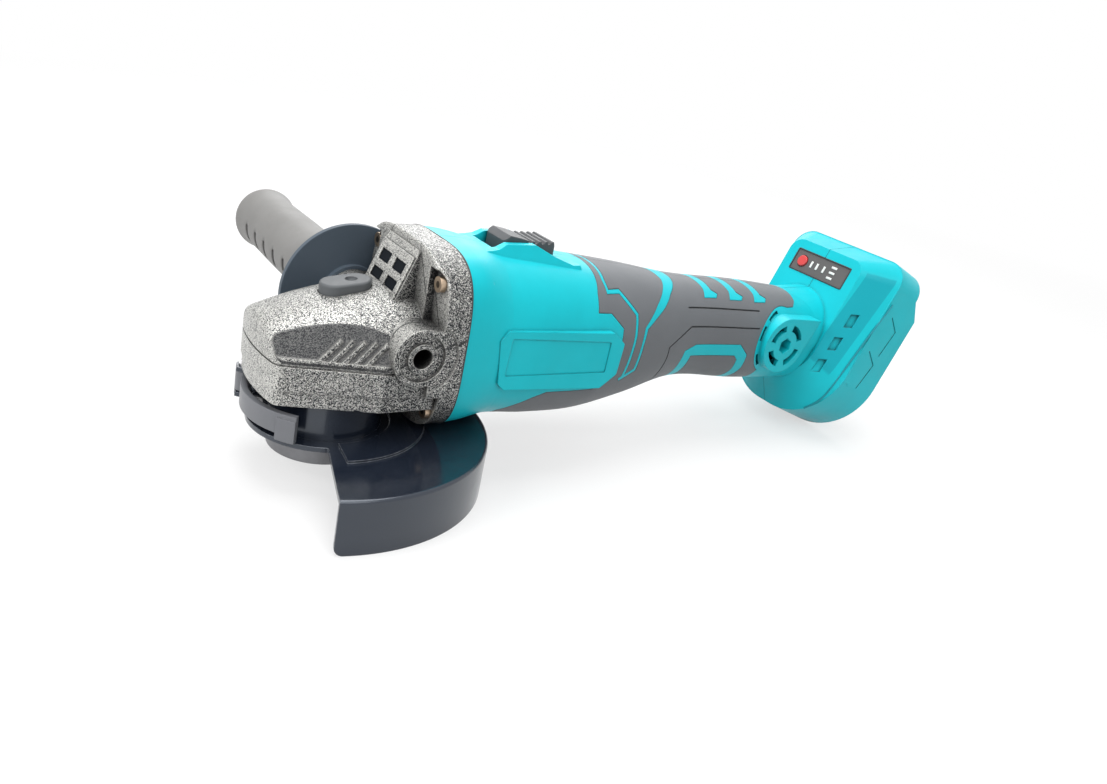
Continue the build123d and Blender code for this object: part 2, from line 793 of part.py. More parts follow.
# Guard, its clamp band and its lever
def polar(radius, angle):
    """A point at a radius and an angle in degrees."""
    return (radius * cos(radians(angle)), radius * sin(radians(angle)))


def arc_strip(plane, outer, inner, start, span, height, mode=Mode.ADD):
    """Part of a ring between two angles."""
    with BuildSketch(plane) as strip:
        with BuildLine():
            far = CenterArc((0, 0), outer, start, span)
            near = CenterArc((0, 0), inner, start, span)
            Line(far @ 0, near @ 0)
            Line(far @ 1, near @ 1)
        make_face()
    extrude(strip.sketch, amount=height, mode=mode)


guard_floor = guard_top - guard_plate
with BuildPart() as guard_shell:
    arc_strip(Plane.XY.offset(rest_z), guard_radius, guard_radius - guard_wall, guard_start, guard_span, guard_top - rest_z)
    corners = edges().group_by(Axis.Z)[0].filter_by(GeomType.LINE)
    fillet(corners, 3.5)
    arc_strip(Plane.XY.offset(guard_floor), guard_radius, hub_radius - 1, guard_start, guard_span, guard_plate)
    crown = edges().group_by(Axis.Z)[-1].filter_by(GeomType.CIRCLE).sort_by(SortBy.RADIUS)[-1]
    fillet(crown, 1.4)
    disc(Plane.XY.offset(guard_floor), hub_radius, guard_plate, band_radius + fit)
    arc_strip(Plane.XY.offset(guard_top), step_radius, hub_radius - 2, guard_start + 8, guard_span - 16, step_height)
guard_shell.part.label = "guard_shell"

lever_pivot = polar(lever_radius + 0.6, lever_start - 3)
fork_plate = 1.8
with BuildPart() as guard_band:
    disc(Plane.XY.offset(guard_floor), band_radius, band_top - guard_floor, neck_radius + sliding)
    for low in (lever_low - sliding - fork_plate, lever_high + sliding):
        with BuildSketch(Plane.XY.offset(low)):
            with Locations(lever_pivot):
                Circle(lever_eye_radius)
            with BuildLine():
                Polyline(
                    polar(band_radius - 1, lever_start - 16), polar(lever_radius + 3, lever_start - 10.5),
                    polar(lever_radius + 3, lever_start + 4.5), polar(band_radius - 1, lever_start + 10), close=True,
                )
            make_face()
            Circle(neck_radius + sliding, mode=Mode.SUBTRACT)
            with Locations(lever_pivot):
                Circle(lever_pin_radius + fit, mode=Mode.SUBTRACT)
        extrude(amount=fork_plate)
    for side in (-1, 1):
        arc_strip(
            Plane.XY.offset(lever_low), lever_radius - lever_wall - 1.4, band_radius - 1,
            clamp_angle + side * 4.5 - 2.5, 5, lever_high - lever_low,
        )
    with BuildSketch(Plane.XY.offset(guard_top)):
        with Locations(Rotation(0, 0, clamp_angle)):
            with Locations((band_radius + 1, 0)):
                Rectangle(10, 2.4)
    extrude(amount=band_top, mode=Mode.SUBTRACT)
    clamp_line = Plane(
        origin=(*polar(lever_radius - lever_wall - 3.4, clamp_angle), (lever_low + lever_high) / 2),
        z_dir=(*polar(1, clamp_angle + 90), 0),
    )
    disc(clamp_line.offset(-20), 1.5 + fit, 40, mode=Mode.SUBTRACT)
guard_band.part.label = "guard_band"

with BuildPart() as clamp_screw:
    clamp_half = 4.4
    disc(clamp_line.offset(-clamp_half), 1.5, 2 * clamp_half)
    for end in (-clamp_half - 1.6, clamp_half):
        disc(clamp_line.offset(end), 2.0, 1.6)
clamp_screw.part.label = "clamp_screw"

with BuildPart() as lever_pin:
    pin_low = lever_low - sliding - fork_plate
    pin_high = lever_high + sliding + fork_plate
    disc(Plane(origin=(*lever_pivot, pin_low)), lever_pin_radius, pin_high - pin_low)
    disc(Plane(origin=(*lever_pivot, pin_high + fit)), lever_pin_radius + 0.9, 0.9)
lever_pin.part.label = "lever_pin"

with BuildPart() as guard_lever:
    arc_strip(
        Plane.XY.offset(lever_low), lever_radius, lever_radius - lever_wall,
        lever_start, lever_end - lever_start, lever_high - lever_low,
    )
    arc_strip(Plane.XY.offset(lever_low - 2.4), lever_radius + 0.6, lever_radius - lever_wall, lever_end - 14, 14, 9)
    disc(Plane(origin=(*lever_pivot, lever_low)), lever_eye_radius, lever_high - lever_low)
    disc(Plane(origin=(*lever_pivot, 0)), lever_pin_radius + running, 60, mode=Mode.SUBTRACT)
guard_lever.part.label = "guard_lever"

# Motor
with BuildPart() as rotor_shaft:
    rear_bearing_x = stator_start + stator_length + winding_overhang + 5.0
    turned(at_x(0, axis_z), [
        (0, pinion_front), (shaft_radius - 0.6, pinion_front), (shaft_radius, pinion_front + 0.6),
        (shaft_radius, rear_bearing_x - 0.4), (shaft_tail_radius, rear_bearing_x - 0.4),
        (shaft_tail_radius, rear_bearing_x + rear_bearing_size[2] + 0.5),
        (0, rear_bearing_x + rear_bearing_size[2] + 0.5),
    ])
rotor_shaft.part.label = "rotor_shaft"

with BuildPart() as rotor_core:
    disc(at_x(stator_start, axis_z), rotor_radius - 1.6, stator_length, shaft_radius + fit)
    for turn in range(4):
        with BuildSketch(at_x(stator_start, axis_z)):
            with BuildLine():
                outer_arc = CenterArc((0, 0), rotor_radius, 90 * turn + 3, 84)
                inner_arc = CenterArc((0, 0), rotor_radius - 2, 90 * turn + 3, 84)
                Line(outer_arc @ 0, inner_arc @ 0)
                Line(outer_arc @ 1, inner_arc @ 1)
            make_face()
        extrude(amount=stator_length)
rotor_core.part.label = "rotor_core"

with BuildPart() as fan:
    fan_hub = shaft_radius + 4.5
    disc(at_x(fan_start, axis_z), fan_hub, fan_width, shaft_radius + fit)
    disc(at_x(fan_start + fan_width - 2, axis_z), fan_radius, 2, shaft_radius + fit)
    with BuildSketch(at_x(fan_start, axis_z)):
        with PolarLocations((fan_radius + 16) / 2, fan_blades):
            Rectangle(fan_radius - 16, 1.2, rotation=28)
        Circle(fan_radius, mode=Mode.INTERSECT)
    extrude(amount=fan_width)
fan.part.label = "fan"

with BuildPart() as stator_core:
    disc(at_x(stator_start, axis_z), stator_radius, stator_length, stator_yoke)
    with BuildSketch(at_x(stator_start, axis_z)):
        with PolarLocations((stator_radius + stator_bore - 2) / 2, 6):
            Rectangle(stator_radius - stator_bore - 2, 5)
        with PolarLocations(stator_bore + pole_shoe / 2, 6):
            Rectangle(pole_shoe, coil_width + 0.5)
        Circle(stator_radius - 1, mode=Mode.INTERSECT)
        Circle(stator_bore, mode=Mode.SUBTRACT)
    extrude(amount=stator_length)
stator_core.part.label = "stator_core"

with BuildPart() as stator_windings:
    coil_inner = stator_bore + pole_shoe + 0.2
    coil_outer = (stator_yoke ** 2 - (coil_width / 2) ** 2) ** 0.5 - 0.1
    with BuildSketch(at_x(stator_start - winding_overhang, axis_z)):
        with PolarLocations((coil_inner + coil_outer) / 2, 6):
            Rectangle(coil_outer - coil_inner, coil_width)
    extrude(amount=stator_length + 2 * winding_overhang)
    fillet(edges().filter_by(Axis.X), 1.5)
    with BuildSketch(at_x(stator_start - fit, axis_z)):
        with PolarLocations((stator_bore + stator_radius) / 2, 6):
            Rectangle(14, 5 + 2 * fit)
    extrude(amount=stator_length + 2 * fit, mode=Mode.SUBTRACT)
stator_windings.part.label = "stator_windings"

with BuildPart() as rear_bearing:
    bearing(at_x(rear_bearing_x, axis_z), rear_bearing_size)
rear_bearing.part.label = "rear_bearing"

holder_start = stator_start + stator_length + winding_overhang + 2.2
holder_hub = rear_bearing_size[0] + 1.5
with BuildPart() as rear_bearing_holder:
    disc(at_x(holder_start, axis_z), stator_radius, 2.5, shaft_radius + 1.5)
    disc(at_x(holder_start, axis_z), holder_hub, rear_bearing_x + rear_bearing_size[2] + 1.5 - holder_start)
    disc(at_x(rear_bearing_x, axis_z), rear_bearing_size[0], rear_bearing_size[2] + 0.2, mode=Mode.SUBTRACT)
    disc(at_x(holder_start - 1, axis_z), shaft_radius + 1.5, 6, mode=Mode.SUBTRACT)
    disc(at_x(rear_bearing_x, axis_z), shaft_tail_radius + 1, rear_bearing_size[2] + 0.8, mode=Mode.SUBTRACT)
    block((holder_start - 1, holder_start + 4), (-link_half - 1.5, link_half + 1.5), (axis_z + 15, 90), Mode.SUBTRACT)
    for turn in range(3):
        angle = 120 * turn + 30
        y, z = polar(stator_radius - 1.5, angle)
        disc(
            Plane(origin=(stator_start + stator_length, y, axis_z + z), x_dir=(0, 1, 0), z_dir=(1, 0, 0)),
            1.4, holder_start + 1 - stator_start - stator_length,
        )
rear_bearing_holder.part.label = "rear_bearing_holder"

with BuildPart() as sensor_board:
    disc(at_x(holder_start - 1.4, axis_z), stator_radius - 3.2, 1.4 - fit, shaft_radius + 3)
    block((holder_start - 2, holder_start + 1), (-link_half - 1.5, link_half + 1.5), (axis_z + 14, 90), Mode.SUBTRACT)
sensor_board.part.label = "sensor_board"


# Soft grip seen from the side, as X and Z
grip_outline = [
    (109, 95), (109, 84), (105, 76), (104, 69), (111.5, 68.5), (119, 62), (118.5, 42), (109, 34.5),
    (84, 35), (78.5, 32.5), (66, 24), (66, 10), (222, 10), (222, 36), (cheek_x, 40), (cheek_x, 66),
    (240, 66), (243.5, 68), (247, 72), (247, 95),
]
front_line = [
    (112.5, 95), (112.5, 84), (110.6, 80), (110.6, 75.6), (118, 75.4), (126.6, 67), (126.6, 58), (124.4, 38),
    (125.8, 37.6), (128, 58), (128, 67.6), (118.6, 76.8), (112, 76.9), (112, 79.6), (114, 84), (114, 95),
]
crescent = [
    (152.6, 95), (152.4, 77.4), (148, 74.6), (141.8, 70.2), (136.8, 65.4), (133, 61.5), (132, 54), (131, 42.4),
    (123, 38.3), (124, 36.9), (132.4, 41.4), (133.4, 54), (134.6, 60.8), (140.4, 65), (146.5, 68.7),
    (153, 73.4), (159.5, 76.3), (163.4, 78.5), (163.4, 95),
]
tick = [(180.3, 95), (178.6, 73.7), (176.4, 71), (184.6, 70.7), (186.5, 72), (183.5, 73.3), (185, 95)]
tick_step = (17.0, -1.1)
finger_band = [
    (163, 10), (165, 47.5), (171.7, 50.4), (201.3, 49.5), (208, 43.8), (209.1, 35.8), (205, 10),
    (200.5, 10), (203.6, 35), (202.6, 41.1), (199.8, 43.6), (170.3, 44.6), (169, 10),
]
grip_marks = [front_line, crescent, finger_band]
for count in range(3):
    grip_marks.append([(x + count * tick_step[0], z + count * tick_step[1]) for x, z in tick])
grip_grooves = [
    [(163.4, 68.0), (212.5, 65.6), (212.5, 65.0), (163.4, 67.4)],
    [(212.3, 57.7), (165.6, 59.7), (152.1, 50.8), (152.5, 45.1), (148.5, 10), (149.2, 10),
     (153.1, 45.1), (152.7, 50.5), (165.8, 59.1), (212.3, 57.1)],
]


def side_shape(points, grow=0.0, mode=Mode.ADD):
    """A side outline, grown all round, inside a sketch."""
    with BuildSketch(Plane.XY, mode=Mode.PRIVATE) as shape:
        with BuildLine():
            Polyline(*points, close=True)
        make_face()
        if grow:
            offset(amount=grow, kind=Kind.INTERSECTION, mode=Mode.REPLACE)
    add(shape.sketch, mode=mode)


def soft_region(gap, cuts):
    """A block through the body under the soft layer's outline, drawn back by a gap."""
    with BuildSketch(at_y(3)) as region:
        side_shape(grip_outline, -gap)
        for mark in grip_marks:
            side_shape(mark, gap, Mode.SUBTRACT)
        for cut in cuts:
            side_shape(cut, 0.0, Mode.SUBTRACT)
        with Locations((cheek_x, cheek_z)):
            Circle(cheek_radius + 0.4 + gap, mode=Mode.SUBTRACT)
    return extrude(region.sketch, amount=80)


with BuildPart() as soft_ground:
    soft_region(0.0, [])

# Battery foot: a leaning block with a smaller front face
foot_back = Vector(cos(foot_tilt), 0, -sin(foot_tilt))
foot_face = Plane(origin=(foot_top_x, 0, foot_top_z), x_dir=(0, 1, 0), z_dir=foot_back)
foot_drop = (foot_top_z - rest_z - foot_depth * sin(foot_tilt)) / cos(foot_tilt)
slot_bottom = -foot_drop + 13.0
floor_depth = foot_depth - slot_depth


def foot_xz(depth, rise):
    """X and Z of a point a depth behind the foot's face and a rise above its top edge."""
    return (
        foot_top_x + depth * cos(foot_tilt) + rise * sin(foot_tilt),
        foot_top_z - depth * sin(foot_tilt) + rise * cos(foot_tilt),
    )


def foot_outline(depth, half, top, bottom, top_radius, bottom_radius):
    """The foot seen square to its face."""
    with BuildSketch(foot_face.offset(depth)) as outline:
        with BuildLine():
            Polyline((-half, top), (half, top), (half, bottom), (-half, bottom), close=True)
        make_face()
        fillet(outline.vertices().group_by(Axis.Y)[-1], top_radius)
        fillet(outline.vertices().group_by(Axis.Y)[0], bottom_radius)
    return outline.sketch


def foot_block(depth, half, rise, mode=Mode.ADD):
    """A box in the foot's own frame, even about the middle."""
    with BuildSketch(foot_face.offset(depth[0])) as outline:
        with Locations((0, (rise[0] + rise[1]) / 2)):
            Rectangle(2 * half, rise[1] - rise[0])
    extrude(outline.sketch, amount=depth[1] - depth[0], mode=mode)


with BuildPart() as foot_form:
    step = 0.5
    loft([
        foot_outline(0, foot_face_half, 0, -foot_drop + foot_chamfer, 7, 20),
        foot_outline(foot_chamfer, foot_half - step, foot_rise - step, -foot_drop + step, 11, 33),
    ])
    extrude(foot_outline(foot_chamfer, foot_half, foot_rise, -foot_drop, 11.5, 33.5), amount=foot_depth - foot_chamfer)
    slab(Plane.XZ, [
        foot_xz(foot_depth - 9, foot_rise + 2), foot_xz(foot_depth + 4, foot_rise + 2),
        foot_xz(foot_depth + 4, -12), foot_xz(foot_depth, -12), foot_xz(foot_depth - 9, -3),
    ], 60, Mode.SUBTRACT, both=True)
    foot_block((floor_depth, foot_depth + 1), slot_half, (slot_bottom, foot_rise + 2), Mode.SUBTRACT)
    for side in (-1, 1):
        with BuildSketch(foot_face.offset(foot_depth - rail_thickness)):
            with Locations((side * (slot_half - rail_reach / 2), (slot_bottom - 14) / 2)):
                Rectangle(rail_reach, -14 - slot_bottom)
        extrude(amount=rail_thickness - 1.3)

# Near chamfer and side of the foot, as planes whose own Y axis rises along the face
slope_run = Vector(0, foot_face_half - foot_half + 0.5, 0) + foot_back * foot_chamfer
foot_slope = Plane(
    origin=foot_face.origin - foot_face.x_dir * foot_face_half, x_dir=slope_run,
    z_dir=slope_run.cross(foot_face.y_dir),
)
foot_side = Plane(origin=foot_face.origin - foot_face.x_dir * foot_half, x_dir=foot_back, z_dir=(0, -1, 0))
foot_lines = [
    [(25.5, -16.7), (35.3, -22.2), (33.4, -37.3)],
    [(23.3, -37.7), (33.3, -43.0), (30.5, -58.0)],
    [(20.8, -58.3), (29.6, -63.3), (24.6, -73.5)],
]

# Raised collar round the switch
collar_profile = [
    (53, 78), (55, 88.8), (58.5, 89.2), (61.4, 89.7), (65.1, 91.7), (78.9, 91.8), (88.3, 87.6), (98, 84.4),
    (101.5, 84.6), (104, 78),
]
with BuildPart() as switch_collar:
    slab(at_x(50), [(-collar_foot, 78), (-collar_half, 94), (collar_half, 94), (collar_foot, 78)], 56)
    slab(Plane.XZ, collar_profile, collar_foot + 4, Mode.INTERSECT, both=True)

# Housing screws as X, Z and length of the post in each half
case_screw_spots = [
    (116, 27.5, 20.5), (142, 69.5, 19), (142, 32.5, 19), (cheek_x, cheek_z, cheek_half - 2),
    (*foot_xz(13, -9), 24), (*foot_xz(13, -foot_drop + 25.5), 24),
]
body_screws = 3  # the first ones sit in the swelling body
panel_middle = -panel_drop - panel_height / 2
slot_front = knob_start - switch_travel - 0.6
slot_rear = knob_start + knob_length + 8.0
vent_plane = Plane(origin=(cheek_x, 0, cheek_z), x_dir=(1, 0, 0), z_dir=(0, -1, 0))
terminal_half = 14.0
terminal_rise = (-58.0, -30.0)
check_place = Plane(
    origin=foot_face.origin + foot_face.x_dir * check_y + foot_face.y_dir * panel_middle,
    x_dir=foot_face.x_dir, z_dir=foot_face.z_dir,
)

# The raised vent draws out to a wing whose edges leave its circle as tangents
wing_reach = (wing_tip[0] - cheek_x, wing_tip[1] - cheek_z)
wing_turn = degrees(atan2(wing_reach[1], wing_reach[0]))
wing_spread = degrees(acos(cheek_disc / hypot(*wing_reach)))
wing_roots = []
for angle in (wing_turn + wing_spread, wing_turn - wing_spread):
    x, z = polar(cheek_disc, angle)
    wing_roots.append((cheek_x + x, cheek_z + z))

# What stands out from the swelling body: foot, neck, cheeks, switch collar and badge plate
with BuildPart() as outer_forms:
    add(foot_form.part)
    with BuildSketch(at_x(grip_x + 78, axis_z - 6.8)):
        Ellipse(grip_half * slimness - 1.0, grip_half - 1.0)
    with BuildSketch(foot_face.offset(1)):
        with Locations((0, -47)):
            Ellipse(foot_face_half - 1.5, 25)
    loft()
    with BuildSketch(at_y(cheek_half)):
        with Locations((cheek_x, cheek_z)):
            Circle(cheek_disc)
        with BuildLine():
            Polyline(wing_tip, *wing_roots, close=True)
        make_face()
    extrude(amount=2 * cheek_half)
    add(switch_collar.part)
    slab(at_y(-25), [
        (58, 64), (54.5, 60), (57, 41.5), (60, 38.8), (109, 36.8), (116.6, 43), (117.4, 57), (111, 62),
    ], 10, rounding=1.5)

with BuildPart() as grip_left:
    soft_region(shadow_gap, grip_grooves)
    add(body_form(0), mode=Mode.INTERSECT)
    add(body_form(skin), mode=Mode.SUBTRACT)
    add(outer_forms.part, mode=Mode.SUBTRACT)
    block((-100, 500), (-seam, 100), (-100, 200), Mode.SUBTRACT)
grip_left.part.label = "grip_left"

with BuildPart() as grip_right:
    mirror(grip_left.part, about=Plane.XZ)
grip_right.part.label = "grip_right"

with BuildPart() as hollow:
    add(body_form(skin + wall, 2.0))
    foot_block(
        (foot_wall + 1, floor_depth - foot_wall), foot_face_half - 3, (-foot_drop + 22, -panel_drop + 1),
    )
    disc(vent_plane, cheek_disc - 2.0, cheek_half - 2.4)


def ring_rib(x, thickness, cut):
    """A rib across the hollow, let into the shell, with a round opening for the motor."""
    centre, half = station_at(x)
    disc(at_x(x, centre), half - skin - wall / 2, thickness)
    if cut:
        disc(at_x(x, axis_z), cut, thickness, mode=Mode.SUBTRACT)


# Ribs and posts inside one half
with BuildPart() as inner_ribs:
    for x in (stator_start + 3, stator_start + stator_length - 6, holder_start):
        ring_rib(x, 2.5, stator_radius + fit)
    block((40, 130), (-link_half - 1, link_half + 1), (link_top - 11, 100), Mode.SUBTRACT)
    for x in (control_start + 5, control_start + control_length - 8):
        ring_rib(x, 2.5, 0)
    block(
        (control_start - 1, control_start + control_length + fit), (-control_half - fit, control_half + fit),
        (control_low - fit, control_high + fit), Mode.SUBTRACT,
    )
    slab(Plane.XY.offset(switch_low - 2.5), [
        (switch_x, -28.2), (switch_x, 0), (switch_x + switch_length, 0), (switch_x + switch_length, -25.6),
    ], 2.5 - fit)
    for index, (x, z, length) in enumerate(case_screw_spots):
        if index == body_screws:
            add(body_form(skin + wall / 4), mode=Mode.INTERSECT)
        disc(Plane(origin=(x, 0, z), x_dir=(1, 0, 0), z_dir=(0, -1, 0)), case_screw_radius + 3, length)

with BuildPart() as near_cuts:
    block((-100, 500), (-seam, 200), (-200, 300))
    block((slot_front, slot_rear), (-knob_half - sliding, 0), (slot_floor, 110))
    block((knob_start - switch_travel + 6, knob_start + 20), (-3.2, 0), (70, 110))
    for y, z in screw_corners:
        place = Plane(origin=(joint_x - 1, y, z), x_dir=(0, 1, 0), z_dir=(1, 0, 0))
        disc(place, head_screw_radius + fit, 12)
    foot_block(
        (-1, panel_depth), panel_width / 2 + 0.1,
        (panel_middle - panel_height / 2 - 0.1, panel_middle + panel_height / 2 + 0.1),
    )
    foot_block((floor_depth - 10, floor_depth + 5), terminal_half + fit, (terminal_rise[0] - fit, terminal_rise[1] + fit))
    for angle in range(15, 375, 90):
        arc_strip(vent_plane.offset(cheek_half - 6), 11.2, 7.9, angle, 62, 12)
    for angle in (104, 145, 200):
        arc_strip(vent_plane.offset(cheek_half - 9), 16.4, 14.8, angle, 28, 12)
    with BuildSketch(vent_plane.offset(cheek_half - 5)):
        RegularPolygon(4.2, 6, rotation=30)
    extrude(amount=10)
    # Slots in the foot's chamfer and fine lines on its side
    for across, rise in ((8.8, -28.8), (7.4, -43.0), (6.0, -56.8)):
        slab(foot_slope.offset(-1.8), [
            (across + x, rise + y) for x, y in ((-2.1, -4.7), (2.1, -2.9), (2.1, 4.7), (-2.1, 2.9))
        ], 5)
    for line in foot_lines:
        with BuildSketch(foot_side):
            with BuildLine():
                Polyline(*line)
            trace(line_width=0.8)
        extrude(amount=0.4, both=True)
    # Shallow place for a badge
    slab(at_y(-34.5), [(60.2, 60.8), (110, 58), (110, 44.2), (59.5, 44.8)], 5, rounding=0.8)
    for x, z, length in case_screw_spots:
        post = Plane(origin=(x, 0, z), x_dir=(1, 0, 0), z_dir=(0, -1, 0))
        disc(post, case_screw_radius + fit, case_screw_length - case_screw_seat + 1)

# Near housing half with its share of the foot
with BuildPart() as housing_left:
    add(body_form(0))
    add(soft_ground.part, mode=Mode.SUBTRACT)
    add(body_form(skin))
    add(outer_forms.part)
    add(hollow.part, mode=Mode.SUBTRACT)
    add(inner_ribs.part)
    add(near_cuts.part, mode=Mode.SUBTRACT)
housing_left.part.label = "housing_left"

# Far half: the same, with sunk seats for the screws and a pocket for the check button
with BuildPart() as far_cuts:
    for x, z, length in case_screw_spots:
        post = Plane(origin=(x, 0, z), x_dir=(1, 0, 0), z_dir=(0, 1, 0))
        disc(post, case_screw_radius + 0.2, case_screw_seat + 1)
        disc(post.offset(case_screw_seat), case_screw_head + sliding, 60)
    disc(check_place, check_radius + sliding, panel_depth + 2.2)

with BuildPart() as housing_right:
    mirror(housing_left.part, about=Plane.XZ)
    add(far_cuts.part, mode=Mode.SUBTRACT)
housing_right.part.label = "housing_right"

with BuildPart() as case_screws:
    for x, z, length in case_screw_spots:
        place = Plane(origin=(x, case_screw_seat + fit, z), x_dir=(1, 0, 0), z_dir=(0, -1, 0))
        pan_screw(place, case_screw_radius, case_screw_length, case_screw_head, 2.6)
case_screws.part.label = "case_screws"

# Slide switch: knob, bar over the motor and the switch itself
knob_end = knob_start + knob_length
with BuildPart() as switch_knob:
    ridges = []
    for count in range(4):
        x = knob_end - 13 + 3.2 * count
        ridges += [(x, 91.4), (x + 1.0, 92.4), (x + 1.9, 92.4), (x + 2.4, 91.2)]
    slab(Plane.XZ, [
        (knob_start, slot_floor + sliding), (knob_start, 92), (knob_start + 3, 94.2),
        (knob_start + 8, 93.4), (knob_start + 13, 92.2), *ridges, (knob_end, 89.5), (knob_end, slot_floor + sliding),
    ], knob_half, both=True)
    fillet(edges().filter_by(Axis.Z), 2.0)
    block((knob_start + 7, knob_start + 17), (-2.6, 2.6), (link_top, slot_floor + 1))
switch_knob.part.label = "switch_knob"

bar_drop = link_top - switch_high - 2.6
with BuildPart() as switch_link:
    low = link_top - link_thickness
    slab(Plane.XZ, [
        (knob_start + 3, low), (knob_start + 3, link_top - fit), (106, link_top - fit), (111, link_top - bar_drop),
        (126, link_top - bar_drop), (126, low - bar_drop), (110.4, low - bar_drop), (105.4, low),
    ], link_half, both=True)
    block((122, 125), (-2.5, 2.5), (switch_high - 2, link_top - bar_drop))
switch_link.part.label = "switch_link"

with BuildPart() as switch_block:
    block((switch_x, switch_x + switch_length), (-switch_half, switch_half), (switch_low, switch_high))
    chamfer(edges().filter_by(Axis.Z), 1.0)
    block((switch_x + 1, switch_x + 14.5), (-3.2, 3.2), (switch_high - 2.5, switch_high), Mode.SUBTRACT)
    for y in (-4, 4):
        block((switch_x + switch_length, switch_x + switch_length + 5), (y - 0.4, y + 0.4), (55, 61))
switch_block.part.label = "switch_block"

# Ring that turns the cooling air past the fan
with BuildPart() as air_baffle:
    disc(at_x(fan_start + fan_width + 1.5, axis_z), fan_radius, 2, stator_bore + 1)
    disc(at_x(fan_start + fan_width + 1.5, axis_z), fan_radius, 3.4, fan_radius - 2)
    block((fan_start, fan_start + 20), (-link_half - 1.5, link_half + 1.5), (low - 0.6, 90), Mode.SUBTRACT)
air_baffle.part.label = "air_baffle"

# Control unit in its open tray
control_end = control_start + control_length
with BuildPart() as control_unit:
    block((control_start, control_end), (-control_half, control_half), (control_low, control_high))
    chamfer(edges().filter_by(Axis.X), 1.5)
    for x in range(5):
        start = control_start + 14 + 8 * x
        block((start, start + 4), (-control_half + 3, control_half - 3), (control_high - 2.5, control_high + 1), Mode.SUBTRACT)
control_unit.part.label = "control_unit"

lead_spots = [(-13, 45), (13, 45), (13, 58)]
with BuildPart() as motor_leads:
    for y, z in lead_spots:
        place = Plane(origin=(holder_start + 2.5 + fit, y, z), x_dir=(0, 1, 0), z_dir=(1, 0, 0))
        disc(place, lead_radius, control_start - holder_start - 2.5 - 2 * fit)
motor_leads.part.label = "motor_leads"

# Battery terminals at the back of the foot
terminal_depth = (floor_depth - 7, floor_depth + 6)
blade_spots = (-9, -3, 3, 9)
with BuildPart() as terminal_block:
    foot_block(terminal_depth, terminal_half, terminal_rise)
    with BuildSketch(foot_face.offset(terminal_depth[1] + 1)):
        with Locations(*[(y, (terminal_rise[0] + terminal_rise[1]) / 2) for y in blade_spots]):
            Rectangle(3, terminal_rise[1] - terminal_rise[0] - 6)
    extrude(amount=-10, mode=Mode.SUBTRACT)
terminal_block.part.label = "terminal_block"

with BuildPart() as terminal_blades:
    with BuildSketch(foot_face.offset(terminal_depth[1] - 1)):
        with Locations(*[(y, (terminal_rise[0] + terminal_rise[1]) / 2) for y in blade_spots]):
            Rectangle(0.8, terminal_rise[1] - terminal_rise[0] - 10)
    extrude(amount=-8 + fit)
terminal_blades.part.label = "terminal_blades"

with BuildPart() as battery_leads:
    for y in (-8, 8):
        disc(Plane(origin=(control_end + fit, y, 42), x_dir=(0, 1, 0), z_dir=(1, 0, 0)), lead_radius, 100)
    foot_block((terminal_depth[0] - fit, 200), 60, (-150, 60), Mode.SUBTRACT)
battery_leads.part.label = "battery_leads"

# Charge panel: upright bars, stacked bars and a round button
light_spots = [(5.9, 0, 1.3, 3.6), (2.0, 0, 1.3, 3.6), (-2.8, 0, 1.3, 3.6)]
light_spots += [(-8.6, rise, 3.6, 1.2) for rise in (-3, 0, 3)]


def panel_bars(grow):
    """The bars of the charge panel in a sketch on the foot's face."""
    for y, rise, width, height in light_spots:
        with Locations((y, panel_middle + rise)):
            Rectangle(width + 2 * grow, height + 2 * grow)


with BuildPart() as indicator_panel:
    panel_top = panel_middle + panel_height / 2
    foot_block((0.15, panel_depth - fit), panel_width / 2, (panel_top - panel_height, panel_top))
    with BuildSketch(foot_face.offset(-1)):
        panel_bars(fit)
    extrude(amount=4, mode=Mode.SUBTRACT)
    disc(check_place, check_radius + sliding, 4, mode=Mode.SUBTRACT)
indicator_panel.part.label = "indicator_panel"

with BuildPart() as charge_lights:
    with BuildSketch(foot_face):
        panel_bars(0.0)
    extrude(amount=panel_depth - fit)
charge_lights.part.label = "charge_lights"

with BuildPart() as check_button:
    disc(check_place.offset(-0.9), check_radius, 0.9 + panel_depth + 1.2)
    fillet(edges().group_by(Axis((0, 0, 0), tuple(foot_back)))[0], 0.5)
check_button.part.label = "check_button"

# Side handle
handle_place = Plane(origin=(handle_x, boss_half, axis_z), x_dir=(1, 0, 0), z_dir=(0, 1, 0))


def handle_form():
    """The turned grip with its wide finger guard, from the boss outwards."""
    root, end = handle_root_radius, handle_end_radius
    with BuildSketch(Plane(origin=handle_place.origin, x_dir=(0, 0, -1), z_dir=(1, 0, 0))) as profile:
        with BuildLine():
            Polyline((0, 0.05), (13, 0.05), (13, 2.2), (handle_disc_radius, 2.2), (handle_disc_radius, 4.6))
            Polyline((handle_disc_radius, 4.6), (root + 2.5, 5.6), (root, 8.5))
            Spline(
                (root, 8.5), (root + 0.4, 30), (root + 0.9, 56), (root + 0.8, 80), (root + 0.6, 98),
                (end - 0.8, handle_length - 12), (end, handle_length - 7),
            )
            Spline(
                (end, handle_length - 7), (end - 3, handle_length - 1.8), (0, handle_length),
                tangents=((0, 1), (-1, 0)),
            )
            Line((0, handle_length), (0, 0.05))
        make_face()
    revolve(profile.sketch, axis=Axis(handle_place.origin, handle_place.z_dir))


def handle_slot(along, angle):
    """A shallow slot across the grip at a distance along it and an angle round it."""
    x, z = polar(handle_root_radius - 1.4, angle)
    spot = handle_place.origin + Vector(x, along, z)
    with BuildSketch(Plane(origin=spot, x_dir=(-z, 0, x), z_dir=(x, 0, z))) as slot:
        SlotOverall(8.5, 2.4)
    extrude(slot.sketch, amount=8, mode=Mode.SUBTRACT)


